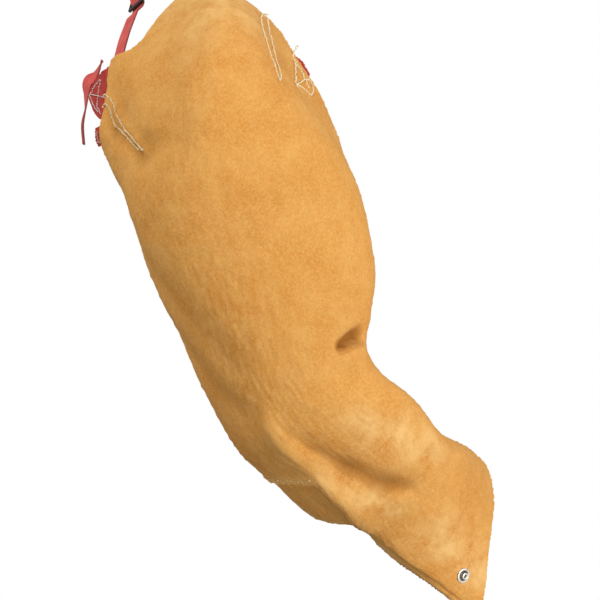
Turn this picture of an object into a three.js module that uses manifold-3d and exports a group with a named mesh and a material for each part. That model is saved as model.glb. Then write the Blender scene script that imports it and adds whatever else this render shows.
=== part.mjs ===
// One welder's arm sleeve of golden suede split leather, for the right arm, in the shape it takes when worn.
// +X is the front of the sleeve, +Y its inner side and +Z up. Millimetres.
// The finished part's origin is on the inside of the top of the shoulder cap, where it sits on a shoulder.

import * as THREE from "three";
import Module from "manifold-3d";
import { mergeVertices } from "three/addons/utils/BufferGeometryUtils.js";

const LEATHER = 1.8; // thickness of the suede split leather
const SEWN_GAP = 0.3; // between the two leather panels where they lap
const PATCH_GAP = 0.8; // between the leather and a red patch sewn under it
const RED_LEATHER = 1.6; // thickness of the red patches and straps
const CAP_LENGTH = 200; // steps from the rim of the cap down to the armpit ring
const COLUMNS = 54; // facets round the sleeve
const COLUMN_TURN = 360 / COLUMNS;

// The rim of the cap, round the shoulder from the front. "at" is the turn in degrees, 0 front and 90 outside.
// "wrap" is how far the leather bends inwards at the rim: 0 stands straight out, 180 runs up the arm.
// "full" is how roundly it bends on its way from the arm.
const RIM = [
  { name: "front_strap", at: 15, x: 74, y: 36, z: -63, wrap: 62, full: 1.15 },
  { name: "front_upper", at: 40, x: 57, y: 52, z: -35, wrap: 72, full: 1.25 },
  { name: "front_top", at: 63, x: 37, y: 74, z: -12, wrap: 85, full: 1.36 },
  { name: "neck", at: 86, x: -3, y: 90, z: 10, wrap: 86, full: 1.4 },
  { name: "rear_top", at: 104, x: -34, y: 59, z: -6, wrap: 72, full: 1.3 },
  { name: "rear_slope", at: 119, x: -57, y: 36, z: -32, wrap: 60, full: 1.18 },
  { name: "rear_corner", at: 131, x: -75, y: 36, z: -47.5, wrap: 57, full: 1.1 },
  { name: "lobe_top", at: 143, x: -88, y: 39, z: -61, wrap: 57, full: 1.05 },
  { name: "lobe_middle", at: 158, x: -92, y: 33, z: -91, wrap: 56, full: 1.03 },
  { name: "lobe_bottom", at: 176, x: -97, y: 34, z: -128, wrap: 60, full: 1.02 },
  { name: "rear_underarm", at: 205, x: -74, y: 48, z: -167, wrap: 120, full: 1.05 },
  { name: "inner_rear", at: 238, x: -26, y: 67, z: -176, wrap: 165, full: 1.1 },
  { name: "armpit", at: 270, x: 26, y: 71, z: -175, wrap: 180, full: 1.1 },
  { name: "inner_front", at: 302, x: 74, y: 63, z: -170, wrap: 165, full: 1.1 },
  { name: "front_underarm", at: 330, x: 110, y: 45, z: -152, wrap: 135, full: 1.1 },
  { name: "front_middle", at: 354, x: 95, y: 33, z: -98, wrap: 68, full: 1.1 },
];
// The notch cut out of the rim at the rear: how many steps of the cap it takes away, round the shoulder.
const NOTCH = [
  { at: 92, cut: 0 },
  { at: 104, cut: 3.5 },
  { at: 117, cut: 5 },
  { at: 124, cut: 11.5 },
  { at: 131, cut: 15 },
  { at: 143, cut: 0 },
  { at: 150, cut: 0 },
];
const NOTCH_FADES = 60;
const CAP_MIDDLE = { x: 0, z: -80 };
const RING_RISE = 6; // length of arm below the armpit ring that gives the cap its first direction

// Sections of the sleeve from the armpit ring to the cuff. "at" is the way down the arm, back and front are
// its two outlines seen from the side, y and deep its middle and half depth, yaw the turn of its outside.
const SECTIONS = [
  { name: "armpit_ring", at: 0, backX: -67, backZ: -200, frontX: 126, frontZ: -181, y: 0, deep: 68, yaw: 0 },
  { name: "biceps", at: 26, backX: -59, backZ: -228, frontX: 131, frontZ: -202, y: 0, deep: 67, yaw: 0 },
  { name: "mid_arm", at: 71, backX: -39, backZ: -273, frontX: 137, frontZ: -244, y: 0, deep: 64, yaw: 2 },
  { name: "low_arm", at: 102, backX: -24, backZ: -304, frontX: 133, frontZ: -275, y: 0, deep: 60, yaw: 5 },
  { name: "bend", at: 138, backX: -5, backZ: -344, frontX: 129, frontZ: -305, y: 2, deep: 56, yaw: 10 },
  { name: "elbow", at: 179, backX: 23, backZ: -392, frontX: 141, frontZ: -327, y: 8, deep: 54, yaw: 18 },
  { name: "seam", at: 208, backX: 48, backZ: -416, frontX: 157, frontZ: -340, y: 18, deep: 52, yaw: 24 },
  { name: "bag", at: 247, backX: 88, backZ: -452, frontX: 167, frontZ: -352, y: 38, deep: 49, yaw: 31 },
  { name: "pinch", at: 295, backX: 127, backZ: -463, frontX: 184, frontZ: -378, y: 70, deep: 45, yaw: 37 },
  { name: "forearm", at: 340, backX: 159, backZ: -492, frontX: 205, frontZ: -390, y: 100, deep: 40, yaw: 40 },
  { name: "wrist", at: 372, backX: 189, backZ: -513.4, frontX: 215, frontZ: -396, y: 125, deep: 34, yaw: 43 },
  { name: "cuff", at: 415, backX: 227, backZ: -543, frontX: 230, frontZ: -408, y: 156, deep: 28, yaw: 46 },
];
const CUFF_END = SECTIONS.at(-1).at;

// How the sections change down the arm: oval is 1 for an oval and less for a flattened tube with round
// corners, in the front half and in the half under the arm, and lean is how far the front outline lies
// behind the middle, and the back outline before it. Tuck is how much the half under the arm is drawn in.
const SHAPES = [
  { at: 0, oval: 1, ovalUnder: 1, lean: 0, tuck: 0 },
  { at: 179, oval: 1, ovalUnder: 1, lean: 0, tuck: 0 },
  { at: 247, oval: 0.8, ovalUnder: 0.8, lean: 4, tuck: 0.2 },
  { at: 320, oval: 0.6, ovalUnder: 0.5, lean: 14, tuck: 0.85 },
  { at: 372, oval: 0.6, ovalUnder: 0.42, lean: 25, tuck: 1 },
  { at: 415, oval: 0.6, ovalUnder: 0.4, lean: 33, tuck: 1.2 },
];

// The main folds: each runs straight between two places on the sleeve and fades out over its reach.
// A rise above 0 is a ridge, below 0 a crease.
const FOLDS = [
  { name: "elbow_crease_inside", turnA: -75, downA: 140, turnB: -14, downB: 137, reach: 12, rise: -4 },
  { name: "elbow_crease_outside", turnA: 52, downA: 127, turnB: 28, downB: 123, reach: 8, rise: -7 },
  { name: "lower_lip_inside", turnA: -60, downA: 166, turnB: -16, downB: 160, reach: 14, rise: 2.5 },
  { name: "lower_lip_outside", turnA: 51, downA: 142, turnB: 30, downB: 140, reach: 9, rise: 2.5 },
  { name: "drag_valley_high", turnA: 126, downA: 200, turnB: 122, downB: 220, reach: 11, rise: -3 },
  { name: "drag_valley_low", turnA: 118, downA: 230, turnB: 110, downB: 264, reach: 13, rise: -4 },
  { name: "elbow_ridge", turnA: 132, downA: 174, turnB: 134, downB: 232, reach: 15, rise: 4 },
  { name: "underside_ridge", turnA: 135, downA: 240, turnB: 154, downB: 286, reach: 14, rise: 4 },
  { name: "elbow_bag", turnA: 180, downA: 232, turnB: 186, downB: 264, reach: 18, rise: 1 },
  { name: "forearm_top_fold", turnA: 52, downA: 268, turnB: 45, downB: 325, reach: 13, rise: 2 },
  { name: "rear_dart_rim", turnA: 158, downA: -205, turnB: 163, downB: -150, reach: 18, rise: -1 },
  { name: "rear_dart_tip", turnA: 163, downA: -140, turnB: 143, downB: -58, reach: 18, rise: -3 },
  { name: "front_dart", turnA: 57, downA: -190, turnB: 54, downB: -100, reach: 12, rise: -2 },
  { name: "back_drag_high", turnA: 172, downA: 20, turnB: 128, downB: 120, reach: 18, rise: -3 },
  { name: "back_drag_low", turnA: 176, downA: 92, turnB: 140, downB: 160, reach: 16, rise: -3 },
];
// A degree round the sleeve, for the distance to a fold: on the upper arm and on the forearm.
const TURN_MM = { upperArm: 1.4, forearm: 0.95, from: 100, to: 280 };

const radians = (degrees) => (degrees * Math.PI) / 180;

// One column of a table at a place between its rows, on a smooth curve through the rows.
function between(rows, column, place, goesRound) {
  const count = rows.length;
  const laps = goesRound ? Math.floor((place - rows[0].at) / 360) : 0;
  const target = place - 360 * laps;
  const row = (i) => {
    if (!goesRound) {
      const kept = rows[Math.min(Math.max(i, 0), count - 1)];
      return [kept.at, kept[column]];
    }
    const lap = Math.floor(i / count);
    const kept = rows[i - lap * count];
    return [kept.at + 360 * lap, kept[column]];
  };
  let i = 0;
  const last = goesRound ? count - 1 : count - 2;
  while (i < last && row(i + 1)[0] <= target) i += 1;
  const [a0, v0] = row(i - 1);
  const [a1, v1] = row(i);
  const [a2, v2] = row(i + 1);
  const [a3, v3] = row(i + 2);
  const step = a2 - a1;
  const slope1 = ((v2 - v0) / (a2 - a0)) * step;
  const slope2 = ((v3 - v1) / (a3 - a1)) * step;
  return hermite(v1, slope1, v2, slope2, (target - a1) / step);
}

function hermite(from, fromSlope, to, toSlope, t) {
  const t2 = t * t;
  const t3 = t2 * t;
  const ends = from * (2 * t3 - 3 * t2 + 1) + to * (3 * t2 - 2 * t3);
  return ends + fromSlope * (t3 - 2 * t2 + t) + toSlope * (t3 - t2);
}

function tubePoint(turn, down) {
  const value = (column) => between(SECTIONS, column, down, false);
  const yaw = radians(value("yaw"));
  const across = Math.cos(radians(turn));
  const side = Math.sin(radians(turn));
  const oval = between(SHAPES, across < 0 ? "ovalUnder" : "oval", down, false);
  const out = value("deep") * Math.sign(side) * Math.abs(side) ** oval;
  const tuck = between(SHAPES, "tuck", down, false) * Math.min(across, 0) ** 2;
  const backX = value("backX");
  const backZ = value("backZ");
  const frontX = value("frontX");
  const frontZ = value("frontZ");
  return new THREE.Vector3(
    (backX + frontX) / 2 + ((frontX - backX) / 2) * across + Math.sin(yaw) * out * (1 - tuck),
    value("y") + between(SHAPES, "lean", down, false) * across - Math.cos(yaw) * out,
    (backZ + frontZ) / 2 + ((frontZ - backZ) / 2) * across,
  );
}

const rimPoint = (turn) => new THREE.Vector3(...["x", "y", "z"].map((c) => between(RIM, c, turn, true)));

// The way the leather heads where it is cut off at the rim.
function rimHeading(turn) {
  const rim = rimPoint(turn);
  const wrap = radians(between(RIM, "wrap", turn, true));
  const away = new THREE.Vector3(rim.x - CAP_MIDDLE.x, 0, rim.z - CAP_MIDDLE.z).normalize();
  const upArm = new THREE.Vector3(0, 0, -1);
  const leans = wrap < Math.PI / 2 ? away : upArm;
  return leans.multiplyScalar(Math.cos(wrap)).add(new THREE.Vector3(0, Math.sin(wrap), 0));
}

const capSpan = (turn) => tubePoint(turn, 0).distanceTo(rimPoint(turn)) * between(RIM, "full", turn, true);

// The middle of the sleeve's outside at a turn round it and a way down it, before folds.
// The cap runs from -CAP_LENGTH at the rim to 0 at the armpit ring, and straight on past the rim.
function sleevePoint(turn, down) {
  if (down >= 0) return tubePoint(turn, down);
  const rim = rimPoint(turn);
  const heading = rimHeading(turn);
  if (down < -CAP_LENGTH) return rim.addScaledVector(heading, -CAP_LENGTH - down);
  const ring = tubePoint(turn, 0);
  const rise = tubePoint(turn, 0).sub(tubePoint(turn, RING_RISE)).normalize();
  const span = capSpan(turn);
  const t = -down / CAP_LENGTH;
  return new THREE.Vector3(
    ...["x", "y", "z"].map((c) => hermite(ring[c], rise[c] * span, rim[c], heading[c] * span, t)),
  );
}

function sleeveNormal(turn, down) {
  const round = sleevePoint(turn + 0.5, down).sub(sleevePoint(turn - 0.5, down));
  const below = Math.min(down + 1, CUFF_END);
  const along = sleevePoint(turn, below).sub(sleevePoint(turn, below - 2));
  return round.cross(along).normalize();
}

function foldRise(turn, down) {
  const share = THREE.MathUtils.smoothstep(down, TURN_MM.from, TURN_MM.to);
  const perTurn = TURN_MM.upperArm + (TURN_MM.forearm - TURN_MM.upperArm) * share;
  let rise = 0;
  for (const fold of FOLDS) {
    for (const lap of [-360, 0, 360]) {
      const a = new THREE.Vector2(fold.turnA * perTurn, fold.downA);
      const b = new THREE.Vector2(fold.turnB * perTurn, fold.downB);
      const place = new THREE.Vector2((turn + lap) * perTurn, down);
      const run = b.clone().sub(a);
      const part = THREE.MathUtils.clamp(place.clone().sub(a).dot(run) / run.lengthSq(), 0, 1);
      const off = place.distanceTo(a.addScaledVector(run, part)) / fold.reach;
      rise += fold.rise * Math.exp(-off * off);
    }
  }
  return rise;
}

// A place on the leather, sunk below its outside by an inset.
function onSleeve(turn, down, inset) {
  return sleevePoint(turn, down).addScaledVector(sleeveNormal(turn, down), foldRise(turn, down) - inset);
}

// The way down the sleeve of a place so many millimetres inside the rim, below 0 past it.
function insideRim(turn, millimetres) {
  return -CAP_LENGTH + (millimetres > 0 ? (millimetres * CAP_LENGTH) / capSpan(turn) : millimetres);
}

// A wall of two skins over the cells of a grid, closed by a cut edge where a cell has no neighbour.
function wall(columns, rows, skinPoint, hasCell, goesRound) {
  const round = goesRound ? columns : columns + 1;
  const perSkin = round * (rows + 1);
  const positions = [];
  for (const side of [0, 1])
    for (let i = 0; i < round; i++)
      for (let j = 0; j <= rows; j++) positions.push(...skinPoint(i, j, side).toArray());
  const cell = (i, j) => {
    const column = goesRound ? (i + columns) % columns : i;
    return column >= 0 && column < columns && j >= 0 && j < rows && hasCell(column, j);
  };
  const corner = (i, j, side) => side * perSkin + (i % round) * (rows + 1) + j;
  const index = [];
  const quad = (a, b, c, d) => index.push(a, b, c, a, c, d);
  for (let i = 0; i < columns; i++)
    for (let j = 0; j < rows; j++) {
      if (!cell(i, j)) continue;
      const ring = [
        [i, j],
        [i + 1, j],
        [i + 1, j + 1],
        [i, j + 1],
      ];
      const next = [
        [i, j - 1],
        [i + 1, j],
        [i, j + 1],
        [i - 1, j],
      ];
      const [a, b, c, d] = ring.map(([x, y]) => corner(x, y, 0));
      quad(a, b, c, d);
      quad(a + perSkin, d + perSkin, c + perSkin, b + perSkin);
      ring.forEach((from, k) => {
        const to = ring[(k + 1) % 4];
        if (cell(...next[k])) return;
        quad(corner(...to, 0), corner(...from, 0), corner(...from, 1), corner(...to, 1));
      });
    }
  const made = new THREE.BufferGeometry();
  made.setAttribute("position", new THREE.Float32BufferAttribute(positions, 3));
  made.setIndex(index);
  const used = made.toNonIndexed();
  return mergeVertices(used, 1e-4);
}

const part = new THREE.Group();
part.name = "leather_sleeve";

// Every piece moves by the same way, which brings the seat inside the cap to the origin.
const SEAT = { turn: 88, down: -178 };
const seat = onSleeve(SEAT.turn, SEAT.down, LEATHER);

function addPiece(name, geometry, color, roughness, metalness) {
  geometry.translate(-seat.x, -seat.y, -seat.z);
  geometry.computeVertexNormals();
  const piece = new THREE.Mesh(geometry, new THREE.MeshStandardMaterial({ color, roughness, metalness }));
  piece.name = name;
  part.add(piece);
}

const SUEDE = 0xd89b57;
const RED = 0xc4524e;

// The body and the panel under the forearm share one grid. The seam column leaves the outside of the elbow,
// slants down to the lower outline and follows it to the cuff. The seam row crosses the elbow.
const SEAM_COLUMN = 21;
const INNER_SEAM_COLUMN = 40;
const INNER_SEAM_TURN = INNER_SEAM_COLUMN * COLUMN_TURN;
// Where the seam column is round the sleeve, on the way down it.
const SEAM_TURN = [
  { at: 0, turn: 140 },
  { at: 205, turn: 140 },
  { at: 222, turn: 140 },
  { at: 243, turn: 142 },
  { at: 267, turn: 156 },
  { at: 303, turn: 182 },
  { at: 345, turn: 184 },
  { at: 380, turn: 182 },
  { at: 415, turn: 178 },
];
const SEAM_SLANT_REACH = 55;
// How far the seam row lies below or above its middle, round the sleeve.
const SEAM_SLANT = [
  { at: 0, shift: 0 },
  { at: 141, shift: 3 },
  { at: 160, shift: -2.4 },
  { at: 180, shift: -5.2 },
  { at: 264, shift: -8 },
  { at: 360, shift: 0 },
];
const ROWS_DOWN = [
  -200, -184, -166, -146, -124, -101, -78, -54, -28, 0, 16, 32, 48, 64, 80, 94, 106, 117, 127, 136, 145,
  155, 166, 178, 191, 204, 216, 228, 240, 253, 266, 280, 294, 308, 323, 339, 355, 371, 386, 401, 415,
];
const SEAM_ROW = ROWS_DOWN.indexOf(216);

// The turn and the way down of a corner of the shared grid.
function gridPlace(i, j) {
  const middle = ROWS_DOWN[j];
  const seam = between(SEAM_TURN, "turn", Math.max(middle, 0), false);
  let turn = INNER_SEAM_TURN + (i - INNER_SEAM_COLUMN) * COLUMN_TURN;
  if (i <= SEAM_COLUMN) turn = (seam * i) / SEAM_COLUMN;
  else if (i <= INNER_SEAM_COLUMN) {
    turn = seam + ((INNER_SEAM_TURN - seam) * (i - SEAM_COLUMN)) / (INNER_SEAM_COLUMN - SEAM_COLUMN);
  }
  const nearSeam = Math.max(0, 1 - Math.abs(middle - ROWS_DOWN[SEAM_ROW]) / SEAM_SLANT_REACH);
  const nearRim = THREE.MathUtils.clamp((NOTCH_FADES - CAP_LENGTH - middle) / NOTCH_FADES, 0, 1);
  const notchTurn = THREE.MathUtils.clamp(turn, NOTCH[0].at, NOTCH.at(-1).at);
  const slant = between(SEAM_SLANT, "shift", turn, false) * nearSeam;
  return { turn, down: middle + slant + between(NOTCH, "cut", notchTurn, false) * nearRim };
}

function leatherPanel(inset, hasCell) {
  const skin = (i, j, side) => {
    const { turn, down } = gridPlace(i, j);
    return onSleeve(turn, down, inset + side * LEATHER);
  };
  return wall(COLUMNS, ROWS_DOWN.length - 1, skin, hasCell, true);
}

const underForearm = (i, j) => i >= SEAM_COLUMN && i < INNER_SEAM_COLUMN && j >= SEAM_ROW;
const underForearmLapped = (i, j) => i >= SEAM_COLUMN - 1 && i <= INNER_SEAM_COLUMN && j >= SEAM_ROW - 1;

// Press stud through the body near the lower corner of the cuff.
const SNAP = { turn: 133.5, down: 389.5, flange: 6.8, stud: 3.1, height: 3.4, post: 2.1, back: 4.6 };
const SNAP_METAL = 0.9;
const SNAP_CLEAR = { hole: 0.5, front: 0.35, back: 0.55 };
const snapAt = sleevePoint(SNAP.turn, SNAP.down);
const snapOut = sleeveNormal(SNAP.turn, SNAP.down);
snapAt.addScaledVector(snapOut, foldRise(SNAP.turn, SNAP.down));
const snapTurn = new THREE.Quaternion().setFromUnitVectors(new THREE.Vector3(0, 1, 0), snapOut);

function placeAtSnap(geometry) {
  return geometry.applyQuaternion(snapTurn).translate(snapAt.x, snapAt.y, snapAt.z);
}

const wasm = await Module();
wasm.setup();

function toSolid(geometry) {
  const bare = new THREE.BufferGeometry();
  bare.setAttribute("position", geometry.getAttribute("position"));
  bare.setIndex(geometry.index);
  const merged = mergeVertices(bare, 1e-4);
  return new wasm.Manifold(
    new wasm.Mesh({
      numProp: 3,
      vertProperties: merged.attributes.position.array,
      triVerts: new Uint32Array(merged.index.array),
    }),
  );
}

function fromSolid(solid) {
  const mesh = solid.getMesh();
  const made = new THREE.BufferGeometry();
  made.setAttribute("position", new THREE.BufferAttribute(mesh.vertProperties, 3));
  made.setIndex(new THREE.BufferAttribute(mesh.triVerts, 1));
  return made;
}

const snapHoleRadius = SNAP.post + SNAP_CLEAR.hole;
const bodyWall = toSolid(leatherPanel(0, (i, j) => !underForearm(i, j)));
const snapHole = toSolid(placeAtSnap(new THREE.CylinderGeometry(snapHoleRadius, snapHoleRadius, 14, 20)));
addPiece("sleeve_body", fromSolid(bodyWall.subtract(snapHole)), SUEDE, 0.92, 0);
addPiece("forearm_under_panel", leatherPanel(LEATHER + SEWN_GAP, underForearmLapped), SUEDE, 0.92, 0);

const flangeTop = SNAP_CLEAR.front + SNAP_METAL;
const flangeBack = -LEATHER - SNAP_CLEAR.back;
const snapProfile = [
  [0, flangeBack - SNAP_METAL],
  [SNAP.back, flangeBack - SNAP_METAL],
  [SNAP.back, flangeBack],
  [SNAP.post, flangeBack],
  [SNAP.post, SNAP_CLEAR.front],
  [SNAP.flange, SNAP_CLEAR.front],
  [SNAP.flange, flangeTop - 0.3],
  [SNAP.flange - 0.6, flangeTop],
  [SNAP.stud + 0.3, flangeTop - 0.25],
  [SNAP.stud - 0.2, SNAP.height - 1.1],
  [SNAP.stud, SNAP.height - 0.5],
  [SNAP.stud - 0.6, SNAP.height],
  [1.5, SNAP.height],
  [1.1, SNAP.height - 0.8],
  [0, SNAP.height - 0.8],
].map(([r, h]) => new THREE.Vector2(r, h));
addPiece("cuff_snap", mergeVertices(placeAtSnap(bareLathe(snapProfile, 24)), 1e-4), 0xbcb9b0, 0.34, 1);

function bareLathe(profile, sides) {
  const turned = new THREE.LatheGeometry(profile, sides);
  turned.deleteAttribute("uv");
  turned.deleteAttribute("normal");
  return fromSolid(toSolid(turned));
}

// Red leather sewn under the rim. The rear patch is a square set on its corner, seen as it leaves the rim.
// "past" is the way out from the rim, below 0 under the leather, and "half" is half its width there.
const REAR_PATCH = {
  turn: 156,
  rimPerTurn: 2.05,
  cells: 8,
  outline: [
    { at: -9, half: 14 },
    { at: 0, half: 22.5 },
    { at: 18, half: 15.5 },
    { at: 33, half: 4 },
  ],
};
const UNDERARM_TAB = {
  turn: 174.2,
  rimPerTurn: 1.9,
  cells: 5,
  outline: [
    { at: -20, half: 9.2 },
    { at: 12.5, half: 9.2 },
  ],
};
const FRONT_PATCH = {
  turn: 14,
  rimPerTurn: 1.9,
  cells: 6,
  outline: [
    { at: -26, half: 15 },
    { at: 0, half: 14 },
    { at: 8, half: 10.5 },
    { at: 12, half: 5 },
  ],
};

function redPatch(patch) {
  const first = patch.outline[0].at;
  const last = patch.outline.at(-1).at;
  const skin = (i, j, side) => {
    const past = last + (first - last) * (j / patch.cells);
    const half = between(patch.outline, "half", past, false);
    const turn = patch.turn + ((2 * i) / patch.cells - 1) * (half / patch.rimPerTurn);
    return onSleeve(turn, insideRim(turn, -past), LEATHER + PATCH_GAP + side * RED_LEATHER);
  };
  return wall(patch.cells, patch.cells, skin, () => true, false);
}

addPiece("rear_patch", redPatch(REAR_PATCH), RED, 0.7, 0);
addPiece("underarm_tab", redPatch(UNDERARM_TAB), RED, 0.7, 0);
addPiece("front_patch", redPatch(FRONT_PATCH), RED, 0.7, 0);

// Straps: rows along the middle of each, with the way its outer face looks. The neck strap starts sewn under
// the rear edge, at places round the rim and past it.
const NECK_STRAP = { wide: 16, steps: 58, sliderAt: 0.85, sewnGap: 2.5 };
const NECK_STRAP_SEWN = [
  { turn: 139.6, past: -42 },
  { turn: 139, past: -32 },
];
const NECK_STRAP_FACE = { faceX: -0.77, faceY: -0.33, faceZ: 0.55 };
const NECK_STRAP_FREE = [
  { x: -82, y: 46, z: -62, ...NECK_STRAP_FACE },
  { x: -80.6, y: 50, z: -53.5, ...NECK_STRAP_FACE },
  { x: -78.8, y: 55, z: -45, ...NECK_STRAP_FACE },
  { x: -77, y: 61, z: -37, ...NECK_STRAP_FACE },
  { x: -72.4, y: 76, z: -21, ...NECK_STRAP_FACE },
  { x: -68.9, y: 88, z: -8.2, ...NECK_STRAP_FACE },
  { x: -66, y: 98, z: 4.2, ...NECK_STRAP_FACE },
  { x: -63, y: 107, z: 15.7, ...NECK_STRAP_FACE },
];
const neckStrapRows = NECK_STRAP_SEWN.map(({ turn, past }) => {
  const down = insideRim(turn, -past);
  const at = onSleeve(turn, down, LEATHER + 0.5 * RED_LEATHER + NECK_STRAP.sewnGap);
  const face = sleeveNormal(turn, down);
  return { x: at.x, y: at.y, z: at.z, faceX: face.x, faceY: face.y, faceZ: face.z };
}).concat(NECK_STRAP_FREE);
const BACK_STRAP = { wide: 14, steps: 26 };
const BACK_STRAP_ROWS = [
  { x: -97, y: 70.1, z: -58, faceX: -0.95, faceY: 0, faceZ: 0.3 },
  { x: -102.4, y: 70.1, z: -69.5, faceX: -0.9, faceY: -0.35, faceZ: 0.25 },
  { x: -109.4, y: 70.1, z: -77, faceX: -0.8, faceY: -0.6, faceZ: 0 },
  { x: -110.6, y: 70.1, z: -87.5, faceX: -0.93, faceY: -0.3, faceZ: -0.1 },
  { x: -111.4, y: 70.1, z: -99, faceX: -0.98, faceY: -0.1, faceZ: 0.1 },
  { x: -114, y: 70.1, z: -113.3, faceX: -1, faceY: 0, faceZ: 0.1 },
  { x: -113, y: 70.1, z: -130.6, faceX: -1, faceY: 0, faceZ: -0.05 },
];

// Where a strap is at a share of its length: its middle, the way it runs, the way it faces and its width.
function strapFrame(rows) {
  const middle = new THREE.CatmullRomCurve3(rows.map((r) => new THREE.Vector3(r.x, r.y, r.z)));
  const face = new THREE.CatmullRomCurve3(rows.map((r) => new THREE.Vector3(r.faceX, r.faceY, r.faceZ)));
  return (share) => {
    const runs = middle.getTangent(share);
    const faces = face.getPoint(share);
    faces.addScaledVector(runs, -faces.dot(runs)).normalize();
    return { at: middle.getPoint(share), runs, faces, across: runs.clone().cross(faces) };
  };
}

function strap(rows, size, lift) {
  const frameAt = strapFrame(rows);
  const cells = 2;
  const skin = (i, j, side) => {
    const frame = frameAt(j / size.steps);
    const raised = lift(frame) + RED_LEATHER * (0.5 - side);
    return frame.at
      .addScaledVector(frame.across, (i / cells - 0.5) * size.wide)
      .addScaledVector(frame.faces, raised);
  };
  return wall(cells, size.steps, skin, () => true, false);
}

// The strap weaves behind the slider's end bars and over its middle bar.
const SLIDER = { wide: 21.4, long: 26, thick: 2.4, slotWide: 17.4, slotLong: 7, bar: 4, corner: 2, weave: 3 };
const sliderFrame = strapFrame(neckStrapRows)(NECK_STRAP.sliderAt);

function weave(frame) {
  const off = frame.at.clone().sub(sliderFrame.at).dot(sliderFrame.runs);
  const pitch = SLIDER.slotLong + SLIDER.bar;
  if (Math.abs(off) <= pitch) return SLIDER.weave * Math.cos((Math.PI * off) / pitch);
  return -SLIDER.weave * (1 - THREE.MathUtils.smoothstep(Math.abs(off), pitch + 3, pitch + 14));
}

function roundedBox(shape, wide, long, middle, corner) {
  const x = wide / 2;
  const low = middle - long / 2;
  const high = middle + long / 2;
  shape.moveTo(-x + corner, low);
  shape.lineTo(x - corner, low);
  shape.quadraticCurveTo(x, low, x, low + corner);
  shape.lineTo(x, high - corner);
  shape.quadraticCurveTo(x, high, x - corner, high);
  shape.lineTo(-x + corner, high);
  shape.quadraticCurveTo(-x, high, -x, high - corner);
  shape.lineTo(-x, low + corner);
  shape.quadraticCurveTo(-x, low, -x + corner, low);
  return shape;
}

const sliderShape = roundedBox(new THREE.Shape(), SLIDER.wide, SLIDER.long, 0, SLIDER.corner);
for (const side of [-1, 1]) {
  const slotMiddle = (side * (SLIDER.slotLong + SLIDER.bar)) / 2;
  sliderShape.holes.push(roundedBox(new THREE.Path(), SLIDER.slotWide, SLIDER.slotLong, slotMiddle, 1));
}
const sliderPlate = new THREE.ExtrudeGeometry(sliderShape, {
  depth: SLIDER.thick,
  bevelEnabled: false,
  curveSegments: 4,
}).translate(0, 0, -SLIDER.thick / 2);
sliderPlate.deleteAttribute("uv");
sliderPlate.deleteAttribute("normal");
const sliderPlace = new THREE.Matrix4().makeBasis(sliderFrame.across, sliderFrame.runs, sliderFrame.faces);
sliderPlate.applyMatrix4(sliderPlace.setPosition(sliderFrame.at));

addPiece("neck_strap", strap(neckStrapRows, NECK_STRAP, weave), RED, 0.7, 0);
addPiece("strap_slider", mergeVertices(sliderPlate, 1e-4), 0x2c2c2a, 0.5, 0);
addPiece("back_strap", strap(BACK_STRAP_ROWS, BACK_STRAP, () => 0), RED, 0.7, 0);

export default part;
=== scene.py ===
import math

import bmesh
import bpy
import numpy as np
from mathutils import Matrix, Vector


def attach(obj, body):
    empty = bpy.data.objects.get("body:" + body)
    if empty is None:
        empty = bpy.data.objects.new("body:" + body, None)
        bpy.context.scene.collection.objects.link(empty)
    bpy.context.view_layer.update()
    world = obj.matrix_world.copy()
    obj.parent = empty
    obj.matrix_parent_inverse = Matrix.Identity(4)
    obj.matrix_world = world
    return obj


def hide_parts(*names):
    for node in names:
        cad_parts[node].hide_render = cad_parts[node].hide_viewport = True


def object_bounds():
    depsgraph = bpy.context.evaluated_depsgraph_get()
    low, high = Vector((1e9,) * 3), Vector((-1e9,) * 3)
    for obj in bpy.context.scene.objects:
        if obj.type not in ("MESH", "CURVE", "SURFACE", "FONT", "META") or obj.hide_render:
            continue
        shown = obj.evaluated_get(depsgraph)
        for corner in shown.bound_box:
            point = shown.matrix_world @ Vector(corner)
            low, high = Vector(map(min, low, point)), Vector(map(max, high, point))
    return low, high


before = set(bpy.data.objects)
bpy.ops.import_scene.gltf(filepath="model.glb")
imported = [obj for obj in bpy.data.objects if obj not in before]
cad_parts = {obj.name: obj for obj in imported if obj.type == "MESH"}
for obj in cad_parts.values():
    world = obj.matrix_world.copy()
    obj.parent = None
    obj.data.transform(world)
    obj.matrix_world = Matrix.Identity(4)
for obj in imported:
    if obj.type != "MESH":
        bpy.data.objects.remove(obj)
cad_box = [[float(v) for v in corner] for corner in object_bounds()]

# Sleeve body
# The main panel of golden split leather, napped on both faces and 1.8 mm thick, from shoulder cap to cuff.
# It is sewn into a tube on its inner side, and two darts sewn at the rim draw the cap in to a dome.

MM = 0.001  # the tables below are in millimetres, from the middle of the sleeve's top
LEATHER = 1.8
SEWN_GAP = 0.3
CAP_LENGTH = 200.0  # steps from the rim of the cap down to the armpit ring
RING_RISE = 6.0
CAP_MIDDLE = (0.0, -80.0)


def table(columns, **rows):
    """Rows of numbers with named columns."""
    kinds = [(column, float) for column in columns.split()]
    return np.array([tuple(row) for row in rows.values()], dtype=kinds).view(np.recarray)


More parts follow.
